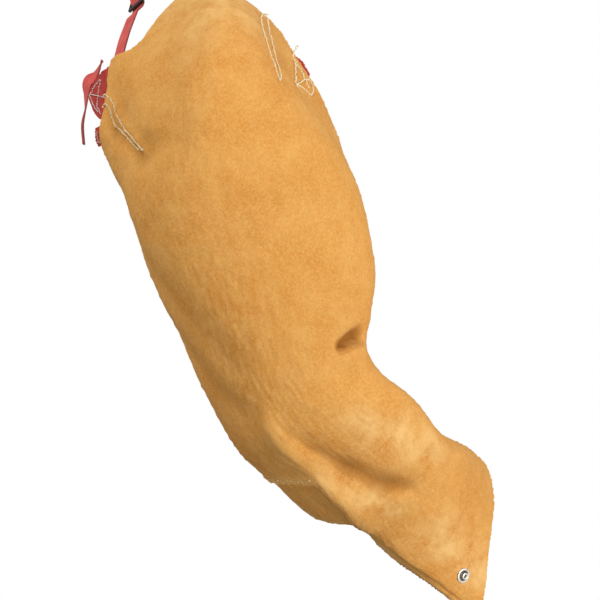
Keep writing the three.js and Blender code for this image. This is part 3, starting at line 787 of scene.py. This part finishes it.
def sewn_rows(name, paths, surface, size, material):
    """Rows of stitches along paths on a surface. Each stitch is a short bent length of thread that dips into
    the leather at its ends."""
    bend = np.linspace(0, 1, STITCH["bends"])
    arch = np.sin(np.pi * bend) ** 0.5
    share = np.linspace(0, 1, PATH_STEPS)
    centres, facings = [], []
    for path in paths:
        on = surface(*curve_through(path, share).T)[0]
        along = np.concatenate([[0], np.cumsum(np.linalg.norm(np.diff(on, axis=0), axis=1))])
        count = max(1, round(along[-1] / size["pitch"]))
        sewn = STITCH["gap"] + (1 - 2 * STITCH["gap"]) * bend
        stops = (np.arange(count)[:, None] + sewn) * along[-1] / count
        places = curve_through(path, np.interp(stops, along, share))
        point, facing = surface(places[..., 0], places[..., 1])
        lift = size["thick"] * (STITCH["arch"] * arch - STITCH["sunk"])
        centres.append(point + facing * lift[:, None])
        facings.append(facing)
    return thread(name, np.concatenate(centres), np.concatenate(facings), size["thick"], material)


def thread(name, centre, facing, thick, material):
    """Lengths of thread, each a closed tube along its middles."""
    count, rings = centre.shape[:2]
    run = unit(np.gradient(centre, axis=1))
    side = unit(np.cross(run, facing))
    up = np.cross(side, run)
    angle = np.arange(THREAD_SIDES) * 2 * np.pi / THREAD_SIDES
    swell = np.sin(np.pi * np.linspace(0, 1, rings))
    radius = thick / 2 * (THREAD_ENDS + (1 - THREAD_ENDS) * swell)
    ring = side[:, :, None] * np.cos(angle)[:, None] + up[:, :, None] * np.sin(angle)[:, None]
    points = centre[:, :, None] + radius[:, None, None] * ring
    number = np.arange(count * rings * THREAD_SIDES).reshape(count, rings, THREAD_SIDES)
    beside = np.roll(number, -1, axis=2)
    quads = np.stack([number[:, :-1], number[:, 1:], beside[:, 1:], beside[:, :-1]], -1).reshape(-1, 4)
    caps = np.concatenate([number[:, 0], number[:, -1, ::-1]])
    return mesh_piece(name, points.reshape(-1, 3), [quads, caps], material)


def spun_thread(name, dark, light):
    """Spun thread: fine twisted plies, a little fuzzy and unevenly dyed."""
    spun = Finish(name, roughness=0.75, specular=0.25)
    uneven = spun.spread(spun.noise(scale=240, detail=2.0, rough=0.5), 0.35, 0.65)
    twist = {"Scale": 900.0, "Distortion": 2.0}
    plies = spun.node("ShaderNodeTexWave", twist, Vector=spun.place).outputs["Fac"]
    shade = spun.math("MULTIPLY", spun.math("ADD", uneven, plies), 0.5)
    spun.link(spun.mix(shade, dark, light), "Base Color")
    spun.link(spun.bump(plies, 0.5, 0.0003), "Normal")
    return spun.material


def on_leather(turn, down):
    return leather(turn, down), leather_facing(turn, down)


def on_grid(column, middle):
    return on_leather(*grid_place(column, middle))


def row_down(column, top, bottom, places):
    return [(column, middle) for middle in np.linspace(top, bottom, places)]


SEAM_INSIDE = 3.4  # the row of stitches from the cut edge
SEAM_COLUMN_INSIDE = 0.48  # the same in columns of the grid
SEAM_PAST = 0.3  # how far the elbow's row runs on past the seam columns
ROW_ENDS = {"cuff": CUFF_END - 3, "rim": 4 - CAP_LENGTH, "elbow": SEAM_DOWN - 4}
SEAM_THREAD = {"pitch": 4.0, "thick": 1.4}
LAP_THREAD = {"pitch": 4.0, "thick": 0.7}
inner_row = INNER_SEAM_COLUMN + SEAM_COLUMN_INSIDE
elbow_columns = np.linspace(SEAM_COLUMN - SEAM_PAST, INNER_SEAM_COLUMN + SEAM_PAST, num=12)
lap_rows = [row_down(SEAM_COLUMN - SEAM_COLUMN_INSIDE, SEAM_DOWN, ROW_ENDS["cuff"], places=14)]
seam_rows = [
    [(column, SEAM_DOWN - SEAM_INSIDE) for column in elbow_columns],
    row_down(inner_row, SEAM_DOWN, ROW_ENDS["cuff"], places=8),
    row_down(inner_row, ROW_ENDS["rim"], ROW_ENDS["elbow"], places=14),
]
TAN_THREAD = spun_thread("tan_thread", colour(214, 168, 98), colour(246, 216, 156))
# A darker copy of the tan thread: painted shade, for the row along the lower outline.
SHADED_THREAD = spun_thread("thread_painted_shaded", colour(172, 116, 54), colour(206, 148, 78))
for name, rows, size, spun in (
    ("seam_stitches", seam_rows, SEAM_THREAD, TAN_THREAD),
    ("lap_stitches", lap_rows, LAP_THREAD, SHADED_THREAD),
):
    stitches = sewn_rows(name, rows, on_grid, size, spun)
    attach(stitches, "root")

# Dart stitching
# Cream thread that shows on the gold: two rows down the rear dart, a long loop round the front dart, and a
# box with a cross bar that holds the front patch under the rim. Loose ends of thread stand off at the rim.

DART_THREAD = {"pitch": 3.0, "thick": 1.35}
# Each row is a path of places: turn and way down.
DART_ROWS = {
    "rear_upper": [
        (158.2, -197), (159.8, -174.5), (161.4, -161), (163, -150), (162.6, -134.5),
        (160.6, -116), (154.2, -92), (149.8, -78.5), (143.8, -65.5),
    ],
    "rear_lower": [
        (161.4, -196), (162.6, -182.5), (164.6, -170), (167, -160), (167.4, -146),
        (163.8, -118.5), (159.8, -99), (155, -84), (151.4, -74.5),
    ],
    "front_left": [
        (57.6, -189), (57.6, -171), (56.4, -149), (54.8, -128), (54, -113.5), (53.4, -101), (54, -89),
    ],
    "front_right": [
        (53.2, -195), (49.2, -177.5), (47.2, -164), (45.2, -150), (46, -135), (47.2, -121.5), (47.8, -111),
        (49.4, -100), (54, -89),
    ],
    "box_rim": [(22, -198), (19.2, -192), (14.6, -189.6), (10.4, -188), (5.6, -177), (2.8, -169.5)],
    "box_back": [(18.4, -191), (14.8, -183), (13.4, -162.5), (15, -145), (22, -124)],
    "box_low": [(22, -124), (10.8, -138.5), (6, -144), (2, -149)],
    "box_bar": [(18, -129), (10, -150.5), (6, -180), (5, -192)],
    "box_front": [(1.6, -152), (0.4, -177.5), (3.2, -190), (5, -193)],
}
END_THREAD = {"steps": 16, "thick": 1.2}
# Loose ends: turn, way down and height above the leather.
DART_ENDS = {
    "front_dart": [(57.6, -187, 0.7), (57, -191, 1.4), (56, -196, 2.4), (55, -200, 2.2)],
    "front_box": [(22, -196, 0.7), (23, -200, 1.2), (24.5, -206, 2.2), (25.5, -211, 2.0)],
    "front_box_low": [(22, -124, 0.7), (24, -120, 1.2), (26, -116, 1.3), (25.6, -113, 1.0)],
    "rear_dart_high": [(158.2, -195, 0.7), (157.6, -198, 1.2), (158.2, -200.5, 1.1), (159, -198.5, 0.8)],
    "rear_dart_low": [(161.4, -194, 0.7), (161.8, -197.5, 1.3), (162.8, -200.5, 1.2), (162.8, -197.5, 0.9)],
}
CREAM_THREAD = spun_thread("cream_thread", colour(238, 214, 160), colour(255, 246, 214))
dart_stitches = sewn_rows("dart_stitches", DART_ROWS.values(), on_leather, DART_THREAD, CREAM_THREAD)
end_centres, end_facings = [], []
for end in DART_ENDS.values():
    turn, down, height = curve_through(end, np.linspace(0, 1, END_THREAD["steps"])).T
    point, facing = on_leather(turn, down)
    end_centres.append(point + facing * height[:, None])
    end_facings.append(facing)
centre, facing = np.stack(end_centres), np.stack(end_facings)
dart_ends = thread("dart_thread_ends", centre, facing, END_THREAD["thick"], CREAM_THREAD)
for piece in (dart_stitches, dart_ends):
    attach(piece, "root")

# Cuff press stud
# A nickel-plated stud riveted through the body near the lower corner of the cuff, with a rolled flange
# outside, a small rivet plate inside and the post between them.

SNAP = {"turn": 133.5, "down": 389.5, "sides": 48}
# Radius and height above the leather, from the middle of the rivet plate to the middle of the stud.
SNAP_PROFILE = [
    (0.0, -3.25), (3.6, -3.25), (4.3, -3.15), (4.6, -2.8), (4.45, -2.4), (2.1, -2.35), (2.1, 0.35),
    (6.4, 0.35), (6.75, 0.5), (6.8, 0.8), (6.6, 1.1), (6.2, 1.25), (5.4, 1.2), (4.4, 1.05), (3.5, 1.0),
    (3.05, 1.2), (2.9, 1.8), (2.95, 2.3), (3.1, 2.7), (3.05, 3.05), (2.75, 3.32), (2.3, 3.4), (1.7, 3.36),
    (1.4, 3.1), (1.1, 2.7), (0.5, 2.6), (0.0, 2.6),
]
# Painted shade in the plating: round the foot of the stud, and in the eye in its top.
SNAP_FOOT = {"inner": 2.92, "outer": 4.6, "low": 0.9, "high": 2.0}
SNAP_EYE = {"outer": 1.5, "low": 2.0}
snap_place = (np.array([SNAP["turn"]]), np.array([SNAP["down"]]))
snap_at, snap_out = leather(*snap_place, fine=False)[0], sleeve_normal(*snap_place)[0]
snap_side = unit(np.cross(snap_out, [0.0, 0.0, 1.0]))
snap_up = np.cross(snap_side, snap_out)
snap_angle = np.arange(SNAP["sides"]) * 2 * np.pi / SNAP["sides"]
snap_round = snap_side * np.cos(snap_angle)[:, None] + snap_up * np.sin(snap_angle)[:, None]
radius, height = np.array(SNAP_PROFILE).T
snap_points = snap_at + snap_out * height[:, None, None] + radius[:, None, None] * snap_round
snap_number = np.arange(len(radius) * SNAP["sides"]).reshape(len(radius), -1)
snap_number[0] = snap_number[0, 0]
snap_number[-1] = snap_number[-1, 0]
beside = np.roll(snap_number, -1, axis=1)
snap_quads = np.stack([snap_number[1:-2], snap_number[2:-1], beside[2:-1], beside[1:-2]], -1).reshape(-1, 4)
snap_back = np.stack([snap_number[0], snap_number[1], beside[1]], -1)
snap_front = np.stack([snap_number[-2], snap_number[-1], beside[-2]], -1)
foot = (radius > SNAP_FOOT["inner"]) & (radius < SNAP_FOOT["outer"])
foot &= (height > SNAP_FOOT["low"]) & (height < SNAP_FOOT["high"])
eye = (radius < SNAP_EYE["outer"]) & (height > SNAP_EYE["low"])
painted_recess_shade = (foot | eye).astype(float)
nickel = Finish("nickel_plate", roughness=0.3, specular=0.5, metallic=1.0)
wear = nickel.spread(nickel.noise(scale=240, detail=3.0, rough=0.5), 0.35, 0.7)
polish = nickel.noise(scale=320, detail=3.0, rough=0.5)
plate = nickel.mix(wear, colour(244, 242, 236), colour(222, 218, 208))
# The recess round the stud's foot and its eye are painted dark: painted shade.
nickel.link(nickel.mix(nickel.number("painted_recess_shade"), plate, colour(92, 86, 76)), "Base Color")
nickel.link(nickel.spread(polish, 0.3, 0.7, 0.24, 0.4), "Roughness")
snap_faces = [snap_quads, snap_back, snap_front]
snap_numbers = {"painted_recess_shade": np.repeat(painted_recess_shade, SNAP["sides"])}
snap = mesh_piece("cuff_press_stud", snap_points.reshape(-1, 3), snap_faces, nickel.material, snap_numbers)
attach(snap, "root")
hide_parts("cuff_snap")

# Red patches under the rim
# Pieces of smooth red leather 1.6 mm thick, sewn under the rim of the cap: a square set on its corner at the
# rear, a short tab below it and a rounded patch at the front. White thread crosses the two at the rear.

PATCH_GAP = 0.8
RED_LEATHER = 1.6
PATCHES = {
    "rear_patch": dict(
        turn=156,
        rim_per_turn=2.05,
        outline=table("at half", root=(-9, 14), rim=(0, 22.5), middle=(18, 15.5), tip=(33, 4)),
        flat=(0.05, 0.042),
        area=0.0017,
    ),
    "underarm_tab": dict(
        turn=174.2,
        rim_per_turn=1.9,
        outline=table("at half", root=(-20, 9.2), end=(12.5, 9.2)),
        flat=(0.0205, 0.0325),
        area=None,
    ),
    "front_patch": dict(
        turn=14,
        rim_per_turn=1.9,
        outline=table("at half", root=(-26, 15), rim=(0, 14), shoulder=(8, 10.5), end=(12, 5)),
        flat=(0.03, 0.038),
        area=0.00095,
    ),
}
PATCH_CELLS = 30


def red_dyed_leather(name, deep, thin):
    """Smooth red leather: a fine pebbled grain, dye rubbed thin in places and a brown raw edge."""
    red = Finish(name, roughness=0.55, specular=0.3)
    dye = red.spread(red.noise(scale=90, detail=4.0, rough=0.6), 0.32, 0.68)
    grain = red.node("ShaderNodeTexVoronoi", {"Scale": 900.0}, Vector=red.place).outputs["Distance"]
    shade = red.mix(dye, deep, thin)
    cut = red.spread(red.number("cut"), 0.2, 0.9, 0.0, 0.8)
    red.link(red.mix(cut, shade, colour(150, 104, 90)), "Base Color")
    red.link(red.spread(dye, 0.0, 1.0, 0.48, 0.66), "Roughness")
    red.link(red.bump(grain, 0.4, 0.0005), "Normal")
    return red.material


# The patches' red is painted darker than the straps': painted shade on the same leather.
SHADED_PATCH_RED = red_dyed_leather("red_leather_painted_shaded", colour(168, 48, 46), colour(192, 72, 64))


def inside_rim(turn, millimetres):
    """The way down the sleeve of a place so many millimetres inside the rim, below 0 past it."""
    return np.where(millimetres > 0, millimetres * CAP_LENGTH / cap_span(turn), millimetres) - CAP_LENGTH


def patch_wall(node, patch):
    past = np.linspace(patch["outline"].at[-1], patch["outline"].at[0], PATCH_CELLS + 1)
    share, past = np.meshgrid(np.linspace(-1, 1, PATCH_CELLS + 1), past, indexing="ij")
    turn = patch["turn"] + share * between(patch["outline"], "half", past) / patch["rim_per_turn"]
    down = inside_rim(turn, -past)
    outer = leather(turn, down, LEATHER + PATCH_GAP)
    inner = leather(turn, down, LEATHER + PATCH_GAP + RED_LEATHER)
    cells = np.ones((PATCH_CELLS, PATCH_CELLS), bool)
    return wall(node + "_leather", outer, inner, cells, False, SHADED_PATCH_RED, bulge=0.25)


def on_patch(patch):
    """Places on a patch from its middle: across along the rim and out past it, in millimetres."""

    def place(across, past):
        turn = patch["turn"] + across / patch["rim_per_turn"]
        down = inside_rim(turn, -past)
        return leather(turn, down, LEATHER + PATCH_GAP), leather_facing(turn, down)

    return place


for node, patch in PATCHES.items():
    piece = patch_wall(node, patch)
    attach(piece, "root")
    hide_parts(node)

PATCH_THREAD = {"pitch": 2.8, "thick": 1.0}
REAR_PATCH_ROWS = {
    "upper_edge": [(-10.7, 16), (-6.5, 23), (-3, 28), (-0.5, 31)],
    "lower_edge": [(0.5, 31), (5, 27), (10, 21), (14.5, 13.5)],
    "down": [(-10.5, 15), (-5, 16.7), (0, 18), (7, 18.5), (13, 13), (17, 8)],
    "across": [(-0.5, 31), (1.7, 18.7), (4.7, 5), (5, 1)],
}
TAB_ROWS = {"end": [(-6, 8), (6, 8)], "side": [(6, 8), (6, -2)]}
WHITE_THREAD = spun_thread("white_thread", colour(214, 204, 192), colour(250, 246, 238))
for name, node, rows in (
    ("rear_patch_stitches", "rear_patch", REAR_PATCH_ROWS),
    ("tab_stitches", "underarm_tab", TAB_ROWS),
):
    row = sewn_rows(name, rows.values(), on_patch(PATCHES[node]), PATCH_THREAD, WHITE_THREAD)
    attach(row, "root")

# Neck strap and back strap
# Two straps of the same red leather. The neck strap, 16 mm wide, leaves the rear edge of the cap and runs up
# through the slider. The back strap, 14 mm wide, stands off behind the rear patch and its tail hangs down.

NECK_STRAP = {"wide": 16.0, "steps": 180, "slider_at": 0.85, "sewn_gap": 2.5, "length": 0.167}
NECK_STRAP_SEWN = table("turn past", low=(139.6, -42), high=(139, -32))
NECK_STRAP_FREE = table(
    "x y z",
    below_rim=(-82, 46, -62),
    rim=(-80.6, 50, -53.5),
    over_rim=(-78.8, 55, -45),
    low=(-77, 61, -37),
    middle=(-72.4, 76, -21),
    high=(-68.9, 88, -8.2),
    slider=(-66, 98, 4.2),
    end=(-63, 107, 15.7),
)
NECK_STRAP_FACES = (-0.77, -0.33, 0.55)  # the way its free length faces
BACK_STRAP = {"wide": 14.0, "steps": 120, "length": 0.089}
BACK_STRAP_ROWS = table(
    "x y z face_x face_y face_z",
    top=(-97, 70.1, -58, -0.95, 0, 0.3),
    loop_high=(-102.4, 70.1, -69.5, -0.9, -0.35, 0.25),
    loop_out=(-109.4, 70.1, -77, -0.8, -0.6, 0),
    loop_low=(-110.6, 70.1, -87.5, -0.93, -0.3, -0.1),
    tail_high=(-111.4, 70.1, -99, -0.98, -0.1, 0.1),
    tail=(-114, 70.1, -113.3, -1, 0, 0.1),
    end=(-113, 70.1, -130.6, -1, 0, -0.05),
)
# The strap leaves its weave over a stretch past the slider's end bars.
SLIDER = {"slot_long": 7.0, "bar": 4.0, "weave": 3.0, "weave_from": 3.0, "weave_to": 14.0}
STRAP_CELLS = 12
RUN_STEP = 1e-4  # a short share of a strap, to find the way it runs
# The straps' red is painted lighter than the patches': painted light on the same leather.
LIT_STRAP_RED = red_dyed_leather("red_leather_painted_lit", colour(204, 72, 72), colour(228, 102, 98))


def columns_of(rows, *names):
    return np.stack([rows[name] for name in names], -1)


def strap_frame(places, faces, share):
    """Middle of a strap, the way it runs and the way it faces, at shares of its length."""
    share = np.asarray(share, float)
    run = unit(curve_through(places, share + RUN_STEP) - curve_through(places, share - RUN_STEP))
    face = curve_through(faces, share)
    face = unit(face - run * np.sum(face * run, axis=-1, keepdims=True))
    return curve_through(places, share), run, face


def strap_wall(name, places, faces, size, lift=None):
    middle, run, face = strap_frame(places, faces, np.linspace(0, 1, size["steps"] + 1))
    across = np.cross(run, face)
    offset = np.linspace(-0.5, 0.5, STRAP_CELLS + 1) * size["wide"]
    if lift:
        middle = middle + face * lift(middle)[:, None]
    centre = middle + offset[:, None, None] * across
    cells = np.ones((STRAP_CELLS, size["steps"]), bool)
    half = face * RED_LEATHER / 2
    return wall(name, centre + half, centre - half, cells, False, LIT_STRAP_RED, bulge=0.35)


sewn_down = inside_rim(NECK_STRAP_SEWN.turn, -NECK_STRAP_SEWN.past)
sewn_inset = LEATHER + RED_LEATHER / 2 + NECK_STRAP["sewn_gap"]
sewn_places = leather(NECK_STRAP_SEWN.turn, sewn_down, sewn_inset, fine=False)
sewn_faces = sleeve_normal(NECK_STRAP_SEWN.turn, sewn_down)
neck_places = np.concatenate([sewn_places, columns_of(NECK_STRAP_FREE, "x", "y", "z")])
neck_faces = np.concatenate([sewn_faces, np.tile(NECK_STRAP_FACES, (len(NECK_STRAP_FREE), 1))])
slider_at, slider_run = strap_frame(neck_places, neck_faces, NECK_STRAP["slider_at"])[:2]


def weave(middle):
    """The strap passes behind the slider's end bars and over its middle bar."""
    off = (middle - slider_at) @ slider_run
    pitch = SLIDER["slot_long"] + SLIDER["bar"]
    inside = SLIDER["weave"] * np.cos(np.pi * off / pitch)
    leaves = smoothstep(np.abs(off), pitch + SLIDER["weave_from"], pitch + SLIDER["weave_to"])
    outside = -SLIDER["weave"] * (1 - leaves)
    return np.where(np.abs(off) <= pitch, inside, outside)


neck_strap = strap_wall("neck_strap_leather", neck_places, neck_faces, NECK_STRAP, weave)
back_places = columns_of(BACK_STRAP_ROWS, "x", "y", "z")
back_faces = columns_of(BACK_STRAP_ROWS, "face_x", "face_y", "face_z")
back_strap = strap_wall("back_strap_leather", back_places, back_faces, BACK_STRAP)
for piece, node, size in ((neck_strap, "neck_strap", NECK_STRAP), (back_strap, "back_strap", BACK_STRAP)):
    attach(piece, "root")
    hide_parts(node)

# Strap slider
# A flat three-bar slider moulded in black plastic, with its edges eased so that the strap runs over them.

SLIDER_EDGES = {"eased": 0.5, "steps": 3, "sharper_than": math.radians(50)}
slider_mesh = bpy.data.objects["strap_slider"].data.copy()
slider_shape = bmesh.new()
slider_shape.from_mesh(slider_mesh)
bmesh.ops.remove_doubles(slider_shape, verts=slider_shape.verts, dist=1e-6)
slider_edges = [
    edge
    for edge in slider_shape.edges
    if len(edge.link_faces) == 2 and edge.calc_face_angle() > SLIDER_EDGES["sharper_than"]
]
bmesh.ops.bevel(
    slider_shape,
    geom=slider_edges,
    offset=SLIDER_EDGES["eased"] * MM,
    segments=SLIDER_EDGES["steps"],
    profile=0.5,
    affect="EDGES",
)
slider_shape.to_mesh(slider_mesh)
slider_shape.free()
plastic = Finish("moulded_black_plastic", roughness=0.42, specular=0.4)
mould = plastic.noise(scale=1100, detail=3.0, rough=0.6)
cloudy = plastic.noise(scale=160)
plastic.link(plastic.mix(cloudy, colour(30, 29, 29), colour(52, 50, 49)), "Base Color")
plastic.link(plastic.spread(mould, 0.3, 0.7, 0.34, 0.52), "Roughness")
plastic.link(plastic.bump(mould, 0.25, 0.0003), "Normal")
slider_mesh.materials.clear()
slider_mesh.materials.append(plastic.material)
slider = new_object("strap_slider_moulded", slider_mesh)
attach(slider, "root")
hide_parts("strap_slider")

# Fibres of the leather
# Split leather is all loose fibre: short ones stand at every cut edge, and a sparse nap lies over the
# outside, brushed down the sleeve. Each fibre is a fine closed spike.

FIBRE_RADIUS = 0.07
FIBRE_CORNERS = [math.radians(angle) for angle in (0, 120, 240)]
FIBRE_FACES = ([0, 1, 3], [1, 2, 3], [2, 0, 3], [0, 2, 1])
ASIDE = (0.36, 0.48, 0.8)  # a slanting way that hardly any fibre lies along
EDGE_FIBRES = {"short": 0.3, "long": 0.8, "stray": 0.5}
NAP_FIBRES = {"count": 26000, "short": 0.4, "long": 1.2, "stray": 0.55, "stands": 0.75, "lies": 0.6}


def fibres(name, roots, ways, size):
    side = unit(np.cross(ways, ASIDE))
    other = np.cross(ways, side)
    corners = [roots + FIBRE_RADIUS * (side * math.cos(a) + other * math.sin(a)) for a in FIBRE_CORNERS]
    lengths = chance.uniform(size["short"], size["long"], len(roots))
    points = np.stack([*corners, roots + ways * lengths[:, None]], 1).reshape(-1, 3)
    first = 4 * np.arange(len(roots))[:, None]
    faces = np.concatenate([first + face for face in FIBRE_FACES])
    return mesh_piece(name, points, [faces], FIBRE)


def loose_fibre():
    fibre = Finish("leather_fibre", roughness=0.95, specular=0.05)
    patchy = fibre.spread(fibre.noise(scale=60, detail=3.0, rough=0.6), 0.3, 0.7)
    fibre.link(fibre.mix(patchy, colour(206, 142, 66), colour(236, 186, 112)), "Base Color")
    return fibre.material


FIBRE = loose_fibre()
chance = np.random.default_rng(7)


def edge_roots(outer, inner, before, per_mm):
    """Places across a cut edge and the way out of it. Before is the row of the outside next to the edge."""
    length = np.linalg.norm(np.diff(outer, axis=0), axis=1)
    along = np.concatenate([[0], np.cumsum(length)])
    spot = np.interp(chance.uniform(0, along[-1], int(along[-1] * per_mm)), along, np.arange(len(along)))
    i = np.minimum(spot.astype(int), len(outer) - 2)
    part = (spot - i)[:, None]
    through = chance.uniform(0, 1, (len(spot), 1))
    outside = outer[i] * (1 - part) + outer[i + 1] * part
    inside = inner[i] * (1 - part) + inner[i + 1] * part
    out = unit(outside - before[i])
    ways = unit(out + EDGE_FIBRES["stray"] * chance.normal(size=out.shape))
    return outside * (1 - through) + inside * through, ways


seam_i, inner_i = SEAM_COLUMN * FINER, INNER_SEAM_COLUMN * FINER
rim_loop = np.arange(COLUMNS * FINER + 1) % (COLUMNS * FINER)
cuff_loop = np.concatenate([np.arange(inner_i, COLUMNS * FINER), np.arange(0, seam_i + 1)])
elbow_row = np.arange(seam_i, inner_i + 1)
lap_run = slice(SEAM_ROW, None)
body_skins, under_skins = (body_outer, body_inner), (under_outer, under_inner)
# Each cut edge: its panel's skins, its place on their grid, the place beside it and fibres to a millimetre.
CUT_EDGES = {
    "rim": (body_skins, (rim_loop, 0), (rim_loop, 1), 5),
    "cuff": (body_skins, (cuff_loop, -1), (cuff_loop, -2), 5),
    "elbow": (body_skins, (elbow_row, SEAM_ROW), (elbow_row, SEAM_ROW - 1), 4),
    "lower_lap": (body_skins, (seam_i, lap_run), (seam_i - 1, lap_run), 2),
    "inner_lap": (body_skins, (inner_i, lap_run), (inner_i + 1, lap_run), 4),
    "under_cuff": (under_skins, (elbow_row, -1), (elbow_row, -2), 5),
}
grown = [
    edge_roots(outer[at], inner[at], outer[beside], per_mm)
    for (outer, inner), at, beside, per_mm in CUT_EDGES.values()
]
roots, ways = (np.concatenate(group) for group in zip(*grown))
edge_fibres = fibres("cut_edge_fibres", roots, ways, EDGE_FIBRES)

cell_i, cell_j = np.nonzero(~under_cells)
next_i = (cell_i + 1) % (COLUMNS * FINER)
round_it = body_outer[next_i, cell_j] - body_outer[cell_i, cell_j]
down_it = body_outer[cell_i, cell_j + 1] - body_outer[cell_i, cell_j]
facing = np.cross(round_it, down_it)
cell_size = np.linalg.norm(facing, axis=1)
picked = chance.choice(len(cell_size), NAP_FIBRES["count"], p=cell_size / cell_size.sum())
across, along = chance.uniform(0, 1, (2, NAP_FIBRES["count"], 1))
roots = body_outer[cell_i, cell_j][picked] + across * round_it[picked] + along * down_it[picked]
brushed = unit(down_it[picked]) + NAP_FIBRES["stray"] * chance.normal(size=roots.shape)
ways = unit(NAP_FIBRES["stands"] * unit(facing[picked]) + NAP_FIBRES["lies"] * brushed)
nap_fibres = fibres("nap_fibres", roots, ways, NAP_FIBRES)
for piece in (edge_fibres, nap_fibres):
    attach(piece, "root")

# Studio
# A pale floor below the hanging sleeve, and a warm white room that is brighter above. A soft key light stands
# on the right at the height of the sleeve, with a fill high on the left and a weak one low on the left.

FLOOR_REACH = 3.0
FLOOR_BELOW = 0.4
FLOOR_SIDES = 60
floor_level = cad_box[0][2] - FLOOR_BELOW
floor_angles = [2 * math.pi * k / FLOOR_SIDES for k in range(FLOOR_SIDES)]
floor_corners = [(FLOOR_REACH * math.cos(a), FLOOR_REACH * math.sin(a), floor_level) for a in floor_angles]
floor_mesh = bpy.data.meshes.new("floor")
floor_mesh.from_pydata(floor_corners, [], [list(range(FLOOR_SIDES))])
pale = Finish("pale_floor", roughness=0.7, specular=0.2)
pale_spots = pale.spread(pale.noise(scale=3), 0.3, 0.7)
pale.link(pale.mix(pale_spots, colour(236, 235, 232), colour(242, 241, 239)), "Base Color")
floor_mesh.materials.append(pale.material)
floor = new_object("floor", floor_mesh)
floor.visible_diffuse = False

VIEW_DISTANCE = 2400.0
VIEW_CENTRE = (73.92, -265.1)
VIEW_WIDTH = 504.0
SENSOR = 36.0
camera_data = bpy.data.cameras.new("camera")
camera_data.sensor_width = SENSOR
camera_data.lens = SENSOR * VIEW_DISTANCE / VIEW_WIDTH
camera = new_object("camera", camera_data)
camera.location = to_frame([VIEW_CENTRE[0], -VIEW_DISTANCE, VIEW_CENTRE[1]])
camera.rotation_euler = (math.pi / 2, 0, 0)
bpy.context.scene.camera = camera

LIGHT_SIZE = 1.2
LIGHTS_AIM = Vector((0.08, -0.02, -0.27))  # the middle of the sleeve
LIGHTS = {
    "key": dict(place=(1.82, -1.5, -0.45), power=41, tint=(1.0, 0.98, 0.95)),
    "fill": dict(place=(-1.05, -1.0, 1.5), power=23, tint=(1.0, 0.99, 0.96)),
    "low_fill": dict(place=(-1.5, -1.1, -1.0), power=9, tint=(1.0, 0.97, 0.9)),
}
for name, light in LIGHTS.items():
    lamp = bpy.data.lights.new(name, "AREA")
    lamp.shape = "DISK"
    lamp.size = LIGHT_SIZE
    lamp.energy = light["power"]
    lamp.color = light["tint"]
    holder = new_object(name, lamp)
    holder.location = light["place"]
    holder.rotation_euler = (LIGHTS_AIM - Vector(light["place"])).to_track_quat("-Z", "Y").to_euler()

ROOM_TINT = (1, 0.97, 0.9, 1)
SEEN_TINT = (1, 1, 1, 1)  # the backdrop as the camera sees it
ROOM_STRENGTH = {"From Min": -0.6, "From Max": 0.6, "To Min": 0.28, "To Max": 0.48}  # from low to high
world = bpy.data.worlds.new("white_room")
world.use_nodes = True
nodes, links = world.node_tree.nodes, world.node_tree.links
seen = nodes.new("ShaderNodeBackground")
seen.inputs["Color"].default_value = SEEN_TINT
room = nodes["Background"]
room.inputs["Color"].default_value = ROOM_TINT
height = nodes.new("ShaderNodeSeparateXYZ")
links.new(nodes.new("ShaderNodeTexCoord").outputs["Generated"], height.inputs["Vector"])
brighter_above = nodes.new("ShaderNodeMapRange")
for label, value in ROOM_STRENGTH.items():
    brighter_above.inputs[label].default_value = value
links.new(height.outputs["Z"], brighter_above.inputs["Value"])
links.new(brighter_above.outputs["Result"], room.inputs["Strength"])
ray = nodes.new("ShaderNodeLightPath")
either = nodes.new("ShaderNodeMixShader")
links.new(ray.outputs["Is Camera Ray"], either.inputs["Fac"])
links.new(room.outputs["Background"], either.inputs[1])
links.new(seen.outputs["Background"], either.inputs[2])
links.new(either.outputs["Shader"], nodes["World Output"].inputs["Surface"])
bpy.context.scene.world = world
bpy.context.scene.view_settings.view_transform = "Standard"
